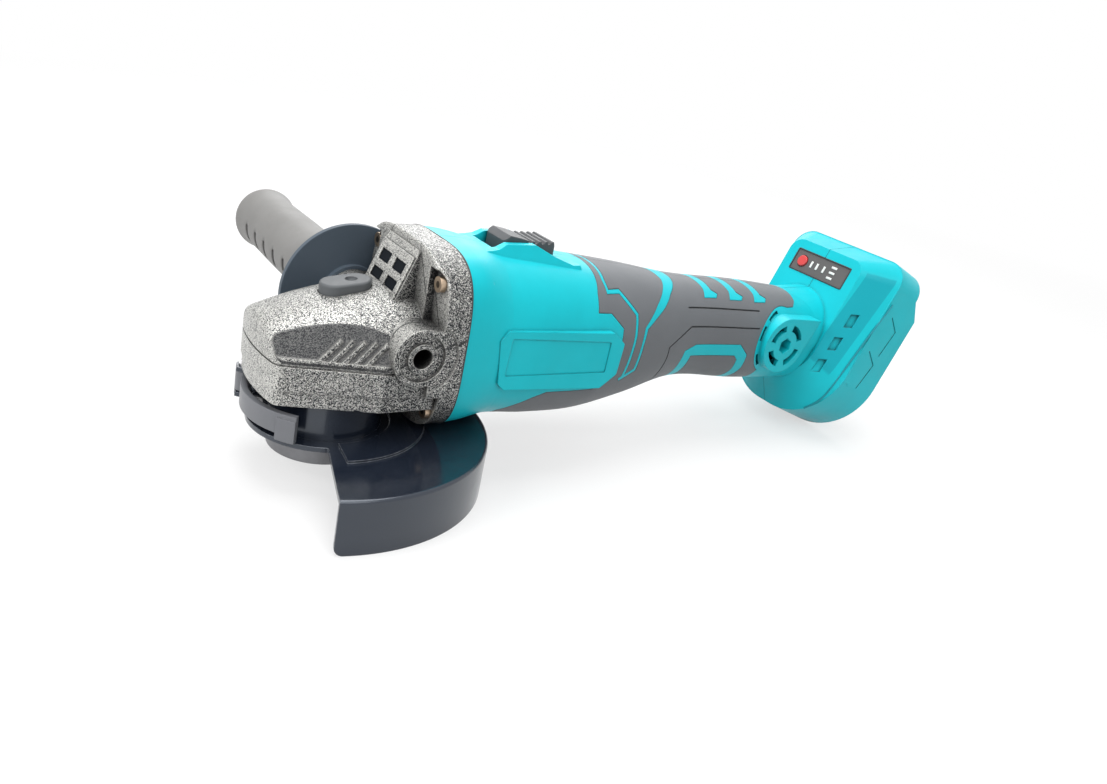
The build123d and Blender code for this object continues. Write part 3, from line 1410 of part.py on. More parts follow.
with BuildPart() as handle_grip:
    handle_form()
    disc(handle_place, handle_thread_radius, 32, mode=Mode.SUBTRACT)
    for count in range(handle_slots):
        for angle in (-165, 15):
            handle_slot(46 + handle_slot_pitch * count, angle)
handle_grip.part.label = "handle_grip"

with BuildPart() as handle_stud:
    disc(handle_place.offset(-handle_thread_depth + 0.6), handle_thread_radius - fit, handle_thread_depth - 0.6 + 31.5)
    chamfer(edges().group_by(Axis.Y)[0], 0.8)
handle_stud.part.label = "handle_stud"

pieces = [
    spindle, gear_ring, bevel_gear, pinion, spindle_bearing, spindle_bush, front_bearing, inner_flange, lock_nut,
    gear_housing, bearing_cover, bearing_retainer, retainer_screws, dust_seal, cover_screws, head_screws,
    lock_button, lock_pin, lock_spring, guard_shell, guard_band, clamp_screw, lever_pin, guard_lever,
    rotor_shaft, rotor_core, fan, stator_core, stator_windings, rear_bearing, rear_bearing_holder, sensor_board,
    grip_left, grip_right, housing_left, housing_right, case_screws, switch_knob, switch_link, switch_block,
    air_baffle, control_unit, motor_leads, terminal_block, terminal_blades, battery_leads, indicator_panel,
    charge_lights, check_button, handle_grip, handle_stud,
]
for piece in pieces:
    export_step(piece.part, f"parts/{piece.part.label}.step")
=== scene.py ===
from math import atan2, copysign, cos, radians, sin

import bmesh
import bpy
from mathutils import Matrix, Vector


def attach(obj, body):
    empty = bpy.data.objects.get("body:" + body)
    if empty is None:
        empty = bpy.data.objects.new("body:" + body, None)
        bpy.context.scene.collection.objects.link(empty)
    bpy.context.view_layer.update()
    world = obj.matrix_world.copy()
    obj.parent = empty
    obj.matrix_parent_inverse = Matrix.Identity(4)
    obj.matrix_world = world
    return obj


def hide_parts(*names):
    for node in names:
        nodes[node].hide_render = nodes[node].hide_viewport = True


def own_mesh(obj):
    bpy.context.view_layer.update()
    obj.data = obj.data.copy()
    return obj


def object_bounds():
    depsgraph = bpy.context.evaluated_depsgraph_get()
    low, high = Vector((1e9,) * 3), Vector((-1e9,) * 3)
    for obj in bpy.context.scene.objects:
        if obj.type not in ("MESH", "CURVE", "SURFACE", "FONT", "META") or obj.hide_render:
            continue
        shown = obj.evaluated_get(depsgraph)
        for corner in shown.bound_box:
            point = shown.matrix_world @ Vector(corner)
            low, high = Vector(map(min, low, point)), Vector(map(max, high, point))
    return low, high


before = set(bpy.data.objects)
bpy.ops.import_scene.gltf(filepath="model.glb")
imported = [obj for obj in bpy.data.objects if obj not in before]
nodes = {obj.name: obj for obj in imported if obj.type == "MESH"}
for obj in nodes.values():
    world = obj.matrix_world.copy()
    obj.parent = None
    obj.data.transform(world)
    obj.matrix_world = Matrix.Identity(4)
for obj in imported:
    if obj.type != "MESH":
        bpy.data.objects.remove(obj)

cad_low, cad_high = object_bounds()
scene = bpy.context.scene
scene.view_settings.view_transform = "Standard"

# Places on the CAD part that the looks follow, in metres
millimetre = 0.001
head_middle = 0.0544  # height of the middle of the gear head's flange
handle_axis = (0.0222, 0, 0.0535)
foot_tilt = radians(20.75)
foot_top = Vector((0.2757, 0.0246, 0.0926))
foot_back = Vector((cos(foot_tilt), 0, -sin(foot_tilt)))
foot_up = Vector((sin(foot_tilt), 0, cos(foot_tilt)))

# Camera at the photograph's viewpoint
camera_place = (-0.13985, -0.32115, 0.18308)
turn = radians(38.17)
tip = radians(21.93)
roll = radians(12.41)
focal_pixels = 946.09
photo_width = 1107
sensor_width = 36
look = Vector((sin(turn) * cos(tip), cos(turn) * cos(tip), -sin(tip)))
level = Vector((cos(turn), -sin(turn), 0))
upright = level.cross(look)
right = level * cos(roll) + upright * sin(roll)
up = upright * cos(roll) - level * sin(roll)
camera = bpy.data.objects.new("camera", bpy.data.cameras.new("camera"))
scene.collection.objects.link(camera)
camera.matrix_world = Matrix((
    (right.x, up.x, -look.x, camera_place[0]),
    (right.y, up.y, -look.y, camera_place[1]),
    (right.z, up.z, -look.z, camera_place[2]),
    (0, 0, 0, 1),
))
camera.data.sensor_fit = "HORIZONTAL"
camera.data.sensor_width = sensor_width
camera.data.lens = sensor_width * focal_pixels / photo_width
camera.data.clip_start = 0.01
scene.camera = camera


# Shader helpers
class Shader:
    """A material's node tree with short ways to add and join nodes."""

    def __init__(self, name):
        self.material = bpy.data.materials.new(name)
        self.material.use_nodes = True
        self.tree = self.material.node_tree
        self.surface = self.tree.nodes["Principled BSDF"]
        self.place = self.add("ShaderNodeTexCoord").outputs["Object"]

    def add(self, kind, settings=None, **inputs):
        made = self.tree.nodes.new(kind)
        for key, value in (settings or {}).items():
            setattr(made, key, value)
        for key, value in inputs.items():
            self.fill(made.inputs[key.replace("_", " ")], value)
        return made

    def fill(self, socket, value):
        """Joins an input to another node's output, or sets its value."""
        if isinstance(value, bpy.types.NodeSocket):
            self.tree.links.new(value, socket)
        else:
            socket.default_value = value

    def set(self, **inputs):
        for key, value in inputs.items():
            self.fill(self.surface.inputs[key.replace("_", " ")], value)

    def now(self, key):
        """What feeds one of the surface's inputs so far."""
        return self.surface.inputs[key].links[0].from_socket

    def noise(self, scale, detail=2.0, roughness=0.5, place=None):
        made = self.add("ShaderNodeTexNoise", Scale=scale, Detail=detail, Roughness=roughness)
        self.fill(made.inputs["Vector"], place or self.place)
        return made.outputs["Fac"]

    def ramp(self, value, *stops):
        made = self.add("ShaderNodeValToRGB", Fac=value)
        band = made.color_ramp
        while len(band.elements) < len(stops):
            band.elements.new(0.5)
        for element, (at, colour) in zip(band.elements, stops):
            element.position = at
            element.color = (*colour, 1)
        return made.outputs["Color"]

    def spread(self, value, low, high, to_low=0.0, to_high=1.0):
        """A value from one range laid onto another, held at its ends."""
        made = self.add("ShaderNodeMapRange", Value=value, From_Min=low, From_Max=high, To_Min=to_low, To_Max=to_high)
        return made.outputs["Result"]

    def mix(self, share, first, second):
        made = self.add("ShaderNodeMix", {"data_type": "RGBA"})
        for socket, value in ((made.inputs[0], share), (made.inputs[6], first), (made.inputs[7], second)):
            self.fill(socket, (*value, 1) if isinstance(value, tuple) else value)
        return made.outputs[2]

    def math(self, how, first, second=0.0):
        made = self.add("ShaderNodeMath", {"operation": how})
        for socket, value in zip(made.inputs, (first, second)):
            self.fill(socket, value)
        return made.outputs[0]

    def dot(self, first, second):
        made = self.add("ShaderNodeVectorMath", {"operation": "DOT_PRODUCT"})
        for socket, value in zip(made.inputs, (first, second)):
            self.fill(socket, value)
        return made.outputs["Value"]

    def length(self, first, second):
        """The long side over two short ones."""
        squares = [self.math("MULTIPLY", side, side) for side in (first, second)]
        return self.math("SQRT", self.math("ADD", *squares))

    def parts(self):
        """The place's X, Y and Z."""
        return self.add("ShaderNodeSeparateXYZ", Vector=self.place).outputs

    def folded(self):
        """The place with both sides of the tool laid on the same side."""
        split = self.parts()
        away = self.math("ABSOLUTE", split["Y"])
        return self.add("ShaderNodeCombineXYZ", X=split["X"], Y=away, Z=split["Z"]).outputs["Vector"]

    def along(self, direction, start, place):
        """How far a place lies along a direction from a starting point."""
        return self.math("SUBTRACT", self.dot(place, direction), Vector(start).dot(Vector(direction)))

    def near(self, value, inside, outside):
        """One where a value is close to nothing, fading out to its sides."""
        return self.spread(self.math("ABSOLUTE", value), inside, outside, 1.0, 0.0)

    def normal(self):
        return self.add("ShaderNodeNewGeometry").outputs["Normal"]

    def rounded(self, radius):
        """The surface's direction with its corners rounded off."""
        return self.add("ShaderNodeBevel", {"samples": 4}, Radius=radius).outputs["Normal"]

    def edges(self, radius):
        """Bright where the surface turns a corner within a radius."""
        return self.spread(self.dot(self.rounded(radius), self.normal()), 0.98, 0.75)

    def open_sky(self, reach):
        """Low down in slots and corners, as far as something stands within reach."""
        return self.add("ShaderNodeAmbientOcclusion", {"samples": 8}, Distance=reach).outputs["AO"]

    def relief(self, height, strength, distance, rounding):
        """Bump from a height, on edges that are rounded off a little."""
        made = self.add("ShaderNodeBump", Strength=strength, Distance=distance, Height=height)
        if rounding:
            self.fill(made.inputs["Normal"], self.rounded(rounding))
        self.set(Normal=made.outputs["Normal"])


# Patterns in the mouldings and steels, as noise scales or in metres
cloud_scale = 28
edge_patch_scale = 420
polish_scale = 90
moulded_edge_radius = 0.0007
hollow_reach = 0.004
grain_depth = 0.0002
ring_scale = 3500
scratch_scale = 2500
scratch_stretch = (1, 0.05, 1)
stain_scale = 120
mark_depth = 0.0001
steel_rounding = 0.0004


def moulded(
    name, colour, rough, grain, strength, mottle=0.08, rounding=0.0005, sheen=0.0, gloss=0.5, hollow_shade=0.0, edge=1.35,
    edge_share=0.35,
):
    """Moulded plastic or rubber: fine grain, a faint cloud of colour, edges of another tone in patches, and painted
    shade in hollows.
    """
    s = Shader(name)
    s.surface.inputs["Specular IOR Level"].default_value = gloss
    dark = tuple(c * (1 - mottle) for c in colour)
    light = tuple(min(c * (1 + mottle), 1) for c in colour)
    base = s.ramp(s.noise(cloud_scale, 4, 0.6), (0.35, dark), (0.65, light))
    patches = s.spread(s.noise(edge_patch_scale, 3), 0.45, 0.7, 0.3 * edge_share, edge_share)
    # Edge tone: above one it pales the edges, partly wear and partly a painted highlight; below one it darkens them as
    # painted shade
    rim = tuple(min(c * edge + max(edge - 1, 0) * 0.14, 1) for c in colour)
    base = s.mix(s.math("MULTIPLY", s.edges(moulded_edge_radius), patches), base, rim)
    # Painted shade: the colour darkens where ambient occlusion finds slots and corners
    if hollow_shade:
        hollow_shaded = tuple(c * (1 - hollow_shade) for c in colour)
        base = s.mix(s.spread(s.open_sky(hollow_reach), 0.3, 0.85), hollow_shaded, base)
    s.set(Base_Color=base, Metallic=0.0)
    s.set(Roughness=s.spread(s.noise(polish_scale, 3), 0.3, 0.7, rough - 0.04, rough + 0.05))
    if sheen:
        s.set(Sheen_Weight=sheen, Sheen_Roughness=0.5)
    s.relief(s.noise(grain, 2, 0.55), strength, grain_depth, rounding)
    return s


def steel(name, colour, rough, axis=None, strength=0.25):
    """Machined steel: turned rings about an axis, or fine scratches."""
    s = Shader(name)
    if axis:
        split = s.parts()
        far = s.length(*[split[key] for key in "XYZ" if key != axis])
        marks = s.noise(ring_scale, 1, 0.5, s.add("ShaderNodeCombineXYZ", X=far).outputs[0])
    else:
        stretch = s.add("ShaderNodeMapping", Vector=s.place, Scale=scratch_stretch)
        marks = s.noise(scratch_scale, 2, 0.5, stretch.outputs[0])
    stain = s.noise(stain_scale, 4, 0.6)
    dark = tuple(c * 0.82 for c in colour)
    s.set(Base_Color=s.mix(s.spread(stain, 0.35, 0.65), dark, colour), Metallic=1.0)
    s.set(Roughness=s.spread(s.math("ADD", marks, stain), 0.7, 1.3, rough - 0.07, rough + 0.09))
    s.relief(marks, strength, mark_depth, steel_rounding)
    return s


# Teal body, with painted shade as a darker band on the chamfer down each side of the foot
chamfer_slope = 12.8 / 17.0
band_lean = 0.0757
band_depth = (0.0004, 0.0007)
band_middle = 0.0091
band_half = (0.0060, 0.0063)
s = moulded(
    "teal_plastic", (0.005, 0.54, 0.62), rough=0.38, grain=2600, strength=0.16, mottle=0.05, rounding=0.0006,
    gloss=0.25, hollow_shade=0.75,
)
place = s.folded()
depth = s.along(Vector((0, 1, 0)) - foot_back * chamfer_slope, foot_top, place)
across = s.along(foot_back - foot_up * band_lean, foot_top, place)
in_band = s.near(s.math("SUBTRACT", across, band_middle), *band_half)
band = s.math("MULTIPLY", s.near(depth, *band_depth), in_band)
# The darker teal on the chamfer band is painted shade
s.set(Base_Color=s.mix(band, s.now("Base Color"), (0.003, 0.39, 0.47)))
teal = s.material

# Soft grip and the other mouldings
# The soft grip's darkened edges and its darker hollows are painted shade
grip = moulded(
    "soft_grip", (0.122, 0.131, 0.143), rough=0.62, grain=3200, strength=0.35, mottle=0.07, sheen=0.2, hollow_shade=0.6,
    edge=0.2, edge_share=0.9,
).material
charcoal = moulded("dark_plastic", (0.055, 0.058, 0.063), rough=0.45, grain=2800, strength=0.2).material
button_grey = moulded("button_grey", (0.085, 0.092, 0.098), rough=0.55, grain=2800, strength=0.2).material
lever_grey = moulded("lever_grey", (0.16, 0.166, 0.182), rough=0.4, grain=2600, strength=0.14).material
panel_grey = moulded("panel_grey", (0.105, 0.1, 0.1), rough=0.4, grain=2800, strength=0.12).material
red = moulded("red_plastic", (0.68, 0.06, 0.06), rough=0.35, grain=2600, strength=0.1, mottle=0.05).material
white = moulded("white_bars", (0.82, 0.82, 0.8), rough=0.35, grain=2600, strength=0.08, mottle=0.03).material
cable = moulded("cable_rubber", (0.03, 0.03, 0.032), rough=0.5, grain=2200, strength=0.2).material
# Darker teal for the foot's lines: painted shade of engraved grooves
groove_shade = moulded("groove_teal", (0.003, 0.26, 0.32), rough=0.5, grain=2600, strength=0.1).material
# Near-black for the sheet that is painted shade inside the vent windows
shade = moulded(
    "vent_shade", (0.006, 0.008, 0.011), rough=0.7, grain=2200, strength=0.2, mottle=0.1, rounding=0.0, gloss=0.1,
).material

# Side handle, with a slate face on the finger disc and soft dents round its slots, darkened inside with painted shade
slate_edge = (0.0388, 0.0390)
slot_pitch = 0.0134
slot_middle = 0.1073
slot_turn = radians(-165)
slot_row_half = (0.0300, 0.0310)
dent_half_width = (0.0005, 0.0035)
dent_half_length = (0.0035, 0.0065)
dent_depth = 0.0016
dent_painted_shade = 0.45
s = moulded(
    "handle_grey", (0.205, 0.202, 0.196), rough=0.55, grain=2400, strength=0.3, mottle=0.07, rounding=0.0006,
)
across = s.parts()["Y"]
s.set(Base_Color=s.mix(s.spread(across, *slate_edge), (0.062, 0.085, 0.112), s.now("Base Color")))
from_middle = s.math("SUBTRACT", across, slot_middle)
to_slot = s.math("PINGPONG", from_middle, slot_pitch / 2)
round_slot = s.along((-sin(slot_turn), 0, cos(slot_turn)), handle_axis, s.place)
dent = s.math("MULTIPLY", s.near(to_slot, *dent_half_width), s.near(round_slot, *dent_half_length))
dent = s.math("MULTIPLY", s.math("MULTIPLY", dent, dent), s.near(from_middle, *slot_row_half))
sunk = s.add("ShaderNodeBump", {"invert": True}, Strength=0.9, Distance=dent_depth, Height=dent, Normal=s.now("Normal"))
s.set(Normal=sunk.outputs["Normal"])
# Painted shade inside the dents
s.set(Base_Color=s.mix(s.math("MULTIPLY", dent, dent_painted_shade), s.now("Base Color"), (0.10, 0.10, 0.10)))
handle_grey = s.material

# Speckled hammered paint on the gear head, with painted light: paler where it faces the nose and darker to the sides,
# painted shade in its slots and recesses, and pale edges that are partly wear and partly a painted highlight
worm_scale = 2500
cell_scale = 4000.0
lump_scale = 900
facing_light_way = (-0.97, 0, 0.22)
facing_light_turn = (0.05, 0.75)
facing_light_gain = (-0.06, 0.08)
shade_reach = 0.012
bright_edge = 0.0009
recess_out = (-0.2792, 0.8174, 0.5039)
recess_start = (-0.034847, 0.016468, 0.050)
recess_depth = (0.0002, 0.0004)
recess_shade = 0.85
s = Shader("speckled_alloy")
worm = s.noise(worm_scale, 2, 0.6)
cells = s.add("ShaderNodeTexVoronoi", {"feature": "F1"}, Vector=s.place, Scale=cell_scale, Randomness=1.0)
tint = s.add("ShaderNodeSeparateColor", Color=cells.outputs["Color"]).outputs[0]
fleck = s.math("ADD", s.math("MULTIPLY", tint, 0.4), s.math("MULTIPLY", worm, 0.75))
# Painted light: the flecks pale on faces turned toward the nose and darken on faces turned away
fleck = s.math("ADD", fleck, s.spread(s.dot(s.normal(), facing_light_way), *facing_light_turn, *facing_light_gain))
colour = s.ramp(
    fleck,
    (0.49, (0.003, 0.005, 0.008)),
    (0.56, (0.014, 0.017, 0.022)),
    (0.595, (0.30, 0.305, 0.30)),
    (0.66, (0.64, 0.635, 0.60)),
)
# Painted shade on the side recess
recess = s.near(s.along(recess_out, recess_start, s.folded()), *recess_depth)
colour = s.mix(s.math("MULTIPLY", recess, recess_shade), colour, (0.012, 0.013, 0.016))
# Pale edges: partly paint wear, partly a painted highlight
colour = s.mix(s.math("MULTIPLY", s.edges(bright_edge), 0.55), colour, (0.80, 0.79, 0.74))
# Painted shade in slots and hollows
colour = s.mix(s.spread(s.open_sky(shade_reach), 0.25, 0.9), (0.006, 0.006, 0.007), colour)
s.set(Base_Color=colour, Metallic=0.45)
s.set(Roughness=s.spread(fleck, 0.3, 0.8, 0.46, 0.32))
lumps = s.math("ADD", fleck, s.math("MULTIPLY", s.noise(lump_scale, 2), 0.6))
s.relief(lumps, 0.4, 0.0002, 0.0008)
alloy = s.material

# Gloss black paint on the guard, pale along its edges, partly wear and partly a painted highlight
s = Shader("black_paint")
base = s.ramp(s.noise(40, 4, 0.6), (0.3, (0.010, 0.014, 0.024)), (0.7, (0.015, 0.020, 0.032)))
pale_edge_wear_and_highlight = s.math("MULTIPLY", s.edges(0.0006), s.spread(s.noise(500, 3), 0.4, 0.65, 0.25, 0.8))
s.set(Base_Color=s.mix(pale_edge_wear_and_highlight, base, (0.30, 0.31, 0.33)), Coat_Weight=0.2)
s.set(Roughness=s.spread(s.noise(160, 3), 0.3, 0.7, 0.16, 0.24))
s.surface.inputs["Coat Roughness"].default_value = 0.08
s.surface.inputs["Specular IOR Level"].default_value = 0.75
s.surface.inputs["Specular Tint"].default_value = (0.84, 0.91, 1.0, 1)
s.relief(s.noise(300, 2, 0.4), 0.05, 0.0002, 0.0006)
black = s.material

# Steels, bronze and copper
bronze_colour = (0.52, 0.40, 0.29)
bronze_rough = 0.34
flange_steel = steel("turned_steel", (0.20, 0.202, 0.212), 0.38, "Z").material
bright_steel = steel("bright_steel", (0.52, 0.52, 0.53), 0.3).material
bronze = steel("bronze", bronze_colour, bronze_rough).material
copper = steel("copper_wire", (0.62, 0.30, 0.16), 0.35).material

# Head screws, with painted shade darkening a small disc at the middle of each
screw_across = 0.0275
screw_rise = 0.0260
socket_radius = (0.0012, 0.0014)
s = steel("screw_bronze", bronze_colour, bronze_rough)
split = s.parts()
beside = s.math("SUBTRACT", s.math("ABSOLUTE", split["Y"]), screw_across)
above = s.math("ABSOLUTE", s.math("SUBTRACT", split["Z"], head_middle))
above = s.math("SUBTRACT", above, screw_rise)
socket = s.spread(s.length(beside, above), *socket_radius, 1.0, 0.0)
# The dark disc at each screw's middle is painted shade
s.set(Base_Color=s.mix(s.math("MULTIPLY", socket, 0.85), s.now("Base Color"), (0.02, 0.015, 0.012)))
screw_bronze = s.material

# Which pieces wear which material
dress = {
    teal: ["housing_left", "housing_right"],
    grip: ["grip_left", "grip_right"],
    charcoal: [
        "switch_knob", "switch_link", "switch_block", "fan", "air_baffle", "rear_bearing_holder", "sensor_board",
        "control_unit", "terminal_block", "dust_seal",
    ],
    button_grey: ["lock_button"],
    handle_grey: ["handle_grip"],
    lever_grey: ["guard_lever"],
    panel_grey: ["indicator_panel"],
    red: ["check_button"],
    white: ["charge_lights"],
    cable: ["motor_leads", "battery_leads"],
    alloy: ["gear_housing", "bearing_cover"],
    black: ["guard_shell", "guard_band"],
    flange_steel: ["inner_flange", "lock_nut"],
    bright_steel: [
        "spindle", "gear_ring", "bevel_gear", "pinion", "spindle_bearing", "front_bearing", "rear_bearing",
        "bearing_retainer", "retainer_screws", "rotor_shaft", "rotor_core", "stator_core", "lock_pin", "lock_spring",
        "lever_pin", "clamp_screw", "handle_stud",
    ],
    screw_bronze: ["head_screws"],
    bronze: ["cover_screws", "case_screws", "spindle_bush", "terminal_blades"],
    copper: ["stator_windings"],
}
for material, names in dress.items():
    for name in names:
        mesh = nodes[name].data
        mesh.materials.clear()
        mesh.materials.append(material)

# Lock spring, copied into a mesh of its own on the tool
lock_coil = bpy.data.objects.new("lock_coil", nodes["lock_spring"].data.copy())
scene.collection.objects.link(lock_coil)
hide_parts("lock_spring")
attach(lock_coil, "tool")
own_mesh(lock_coil)

# Cooling windows on the vent face of the gear head, with columns and rows in millimetres, and a near-black sheet in
# them as painted shade
vent_run = 8.8
vent_rise = 22.6
vent_lean = atan2(vent_run, vent_rise)
vent_middle = Vector((0.021, 0, 0.0773))
vent_up = Vector((sin(vent_lean), 0, cos(vent_lean)))
vent_out = Vector((-cos(vent_lean), 0, sin(vent_lean)))
frame_columns = (-13.4, -10.6, -2.0, 2.0, 10.6, 13.4)
frame_rows = (-9.0, -6.6, -2.5, 0.6, 5.1, 9.0)
frame_windows = [(1, 1), (3, 1), (1, 3), (3, 3)]
frame_levels = (-0.2, 0.9)
frame_rounding = 0.0003
screen_columns = (-11.5, 0.0, 11.5)
screen_rows = (-7.5, -1.0, 6.0)
screen_levels = (0.02, 0.2)
screen_rounding = 0.00003


def on_vent(across, rise, proud):
    """A point over the vent face, from millimetres across it, up it and out of it."""
    return vent_middle + Vector((0, across, 0)) * millimetre + (vent_up * rise + vent_out * proud) * millimetre


def pierced_plate(name, columns, rows, windows, levels, rounding):
    """A plate over the vent face, with the grid's cells named in windows left open."""
    mesh = bpy.data.meshes.new(name)
    shape = bmesh.new()
    points = {}
    for i, across in enumerate(columns):
        for j, rise in enumerate(rows):
            for k, proud in enumerate(levels):
                points[i, j, k] = shape.verts.new(on_vent(across, rise, proud))
    cells = {(i, j) for i in range(len(columns) - 1) for j in range(len(rows) - 1)} - set(windows)
    for i, j in cells:
        ring = [(i, j), (i + 1, j), (i + 1, j + 1), (i, j + 1)]
        shape.faces.new([points[a, b, 1] for a, b in ring])
        shape.faces.new([points[a, b, 0] for a, b in reversed(ring)])
        beside = [(i, j - 1), (i + 1, j), (i, j + 1), (i - 1, j)]
        for start, end, next_cell in zip(ring, ring[1:] + ring[:1], beside):
            if next_cell not in cells:
                shape.faces.new([points[(*start, 0)], points[(*end, 0)], points[(*end, 1)], points[(*start, 1)]])
    bmesh.ops.delete(shape, geom=[v for v in shape.verts if not v.link_faces], context="VERTS")
    bmesh.ops.recalc_face_normals(shape, faces=shape.faces)
    shape.to_mesh(mesh)
    shape.free()
    made = bpy.data.objects.new(name, mesh)
    scene.collection.objects.link(made)
    bevel = made.modifiers.new("rounding", "BEVEL")
    bevel.width = rounding
    bevel.segments = 3
    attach(made, "tool")
    return made


vent_frame = pierced_plate("vent_frame", frame_columns, frame_rows, frame_windows, frame_levels, frame_rounding)
vent_frame.data.materials.append(alloy)
# Near-black sheet in the windows: painted shade
vent_shade_sheet = pierced_plate("vent_shade_sheet", screen_columns, screen_rows, [], screen_levels, screen_rounding)
vent_shade_sheet.data.materials.append(shade)


# Thin trim along lines on the tool
def thin_bead(name, routes, radius, material, closed=False):
    """Round beads along routes of points, each point with its own share of the radius."""
    line = bpy.data.curves.new(name, "CURVE")
    line.dimensions = "3D"
    line.bevel_depth = radius
    line.bevel_resolution = 4
    line.resolution_u = 8
    for route in routes:
        spline = line.splines.new("NURBS")
        spline.points.add(len(route) - 1)
        for point, (place, share) in zip(spline.points, route):
            point.co = (*place, 1)
            point.radius = share
        spline.order_u = 3
        spline.use_endpoint_u = not closed
        spline.use_cyclic_u = closed
    made = bpy.data.objects.new(name, line)
    scene.collection.objects.link(made)
    line.materials.append(material)
    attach(made, "tool")


# Raised lip round the front edge of the gear head's flange, and the seal behind it
flange_half_width = 0.0351
flange_half_height = 0.0366
flange_power = 3.6
lip_steps = 33
lip_x = 0.0269
lip_start = 20
lip_sweep = 140
lip_sunk = 0.0003
lip_corner = 0.025
lip_corner_run = 0.005
lip_set_back = 0.0035
lip_end_share = 0.15
lip_taper_steps = 4
lip_radius = 0.0009
seal_steps = 120
seal_x = 0.0396
seal_sunk = 0.0001
seal_radius = 0.00035


def on_flange(x, angle, sunk):
    """A point on the flange's outline, sunk a little below it."""
    across = copysign(abs(cos(angle)) ** (2 / flange_power), cos(angle)) * (flange_half_width - sunk)
    rise = copysign(abs(sin(angle)) ** (2 / flange_power), sin(angle)) * (flange_half_height - sunk)
    return Vector((x, across, head_middle + rise))


lip = []
for step in range(lip_steps):
    spot = on_flange(lip_x, radians(lip_start + lip_sweep * step / (lip_steps - 1)), lip_sunk)
    spot.x += lip_set_back * min(max((abs(spot.y) - lip_corner) / lip_corner_run, 0), 1)
    lip.append((spot, min(1, lip_end_share + min(step, lip_steps - 1 - step) / lip_taper_steps)))
thin_bead("flange_lip", [lip], lip_radius, alloy)
seal = [(on_flange(seal_x, radians(360 / seal_steps * step), seal_sunk), 1) for step in range(seal_steps)]
thin_bead("flange_seal", [seal], seal_radius, cable, True)

# Dark line along the sides of the foot, painted shade for an engraved line, in millimetres and set a little out of the
# side
foot_line = [
    (290.0, 37.9, 75.2), (283.2, 37.8, 64.4), (277.5, 36.8, 51.8), (271.0, 35.8, 38.1), (267.6, 34.7, 28.8),
    (266.1, 32.7, 21.7), (264.8, 29.8, 16.4), (263.1, 25.2, 11.3),
]
line_forward = 0.1
line_out = 0.2
line_radius = 0.00045
routes = []
for side in (-1, 1):
    spots = [Vector((x - line_forward, side * (y + line_out), z)) * millimetre for x, y, z in foot_line]
    routes.append([(spot, 1) for spot in spots])
thin_bead("foot_lines", routes, line_radius, groove_shade)

# Dark rim round the charge panel
panel_half = 0.0183
panel_top = -0.0053
panel_bottom = -0.0170
panel_corner = 0.0010
rim_radius = 0.0004
face_top = Vector((foot_top.x, 0, foot_top.z))
rim = []
for side, end, turned in ((-1, panel_top, 0), (1, panel_top, 1), (1, panel_bottom, 0), (-1, panel_bottom, 1)):
    inward = copysign(panel_corner, end - (panel_top + panel_bottom) / 2)
    bends = [(side * panel_half, end - inward), (side * panel_half, end), (side * (panel_half - panel_corner), end)]
    for across, rise in reversed(bends) if turned else bends:
        rim.append((face_top + Vector((0, across, 0)) + foot_up * rise, 1))
thin_bead("panel_rim", [rim], rim_radius, cable, True)

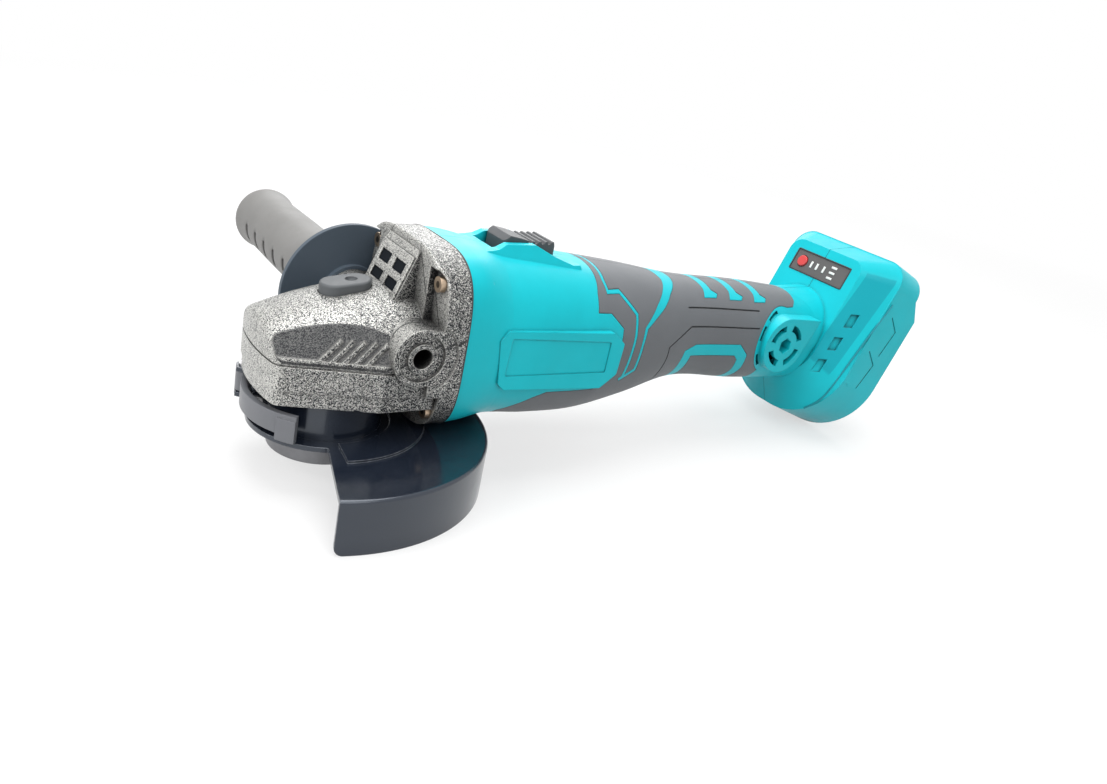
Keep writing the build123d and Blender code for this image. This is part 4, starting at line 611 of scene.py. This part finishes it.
# Floor, white to the camera and in reflections, with the shadow kept
floor_size = 400
floor_drop = 0.0001
floor_white = (0.95, 0.95, 0.95)
floor_bounce = (0.5, 0.5, 0.5)
glow_near = 0.35
glow_far = 1.1
glow_share = (0.62, 1.0)
bpy.ops.mesh.primitive_plane_add(size=floor_size, location=(0.15, 0, cad_low[2] - floor_drop))
floor = bpy.context.object
floor.name = "floor"
s = Shader("floor")
rays = s.add("ShaderNodeLightPath").outputs
s.set(Base_Color=s.mix(rays["Is Diffuse Ray"], floor_white, floor_bounce), Roughness=0.9)
seen = s.math("MAXIMUM", rays["Is Camera Ray"], rays["Is Glossy Ray"])
seen = s.math("MAXIMUM", seen, rays["Is Transmission Ray"])
away = s.add("ShaderNodeVectorMath", {"operation": "LENGTH"}, Vector=s.place).outputs["Value"]
share = s.math("MULTIPLY", seen, s.spread(away, glow_near, glow_far, *glow_share))
glow = s.add("ShaderNodeEmission", Strength=1.0)
blend = s.add("ShaderNodeMixShader")
for socket, source in zip(blend.inputs, (share, s.surface.outputs[0], glow.outputs[0])):
    s.tree.links.new(source, socket)
s.tree.links.new(blend.outputs[0], s.tree.nodes["Material Output"].inputs["Surface"])
floor.data.materials.append(s.material)

# White surroundings that light the tool softly
soft_light = 0.32
world = bpy.data.worlds.new("studio")
scene.world = world
world.use_nodes = True
tree = world.node_tree
back = tree.nodes["Background"]
back.inputs["Color"].default_value = (1, 1, 1, 1)
rays = tree.nodes.new("ShaderNodeLightPath").outputs
first = tree.nodes.new("ShaderNodeMath")
first.operation = "MAXIMUM"
second = tree.nodes.new("ShaderNodeMath")
second.operation = "MAXIMUM"
brightness = tree.nodes.new("ShaderNodeMapRange")
brightness.inputs["To Min"].default_value = soft_light
tree.links.new(rays["Is Camera Ray"], first.inputs[0])
tree.links.new(rays["Is Glossy Ray"], first.inputs[1])
tree.links.new(first.outputs[0], second.inputs[0])
tree.links.new(rays["Is Transmission Ray"], second.inputs[1])
tree.links.new(second.outputs[0], brightness.inputs["Value"])
tree.links.new(brightness.outputs["Result"], back.inputs["Strength"])


# Lamps
def lamp(name, place, target, size, power):
    """A round soft lamp that points at a target, with its size in metres and its power in watts."""
    made = bpy.data.objects.new(name, bpy.data.lights.new(name, "AREA"))
    made.data.shape = "DISK"
    made.data.size = size
    made.data.energy = power
    made.location = place
    made.rotation_euler = (Vector(target) - Vector(place)).to_track_quat("-Z", "Y").to_euler()
    scene.collection.objects.link(made)


lamp("front", (-0.1, -0.75, 0.8), (0.12, 0, 0.05), size=0.9, power=4.2)
lamp("left", (-0.9, -0.1, 0.55), (0.05, 0, 0.05), size=0.7, power=6.0)
lamp("top", (0.1, 0.1, 1.1), (0.15, 0, 0.05), size=0.9, power=8.5)
lamp("back", (0.5, 0.8, 0.62), (0.12, 0, 0.05), size=0.9, power=5.0)
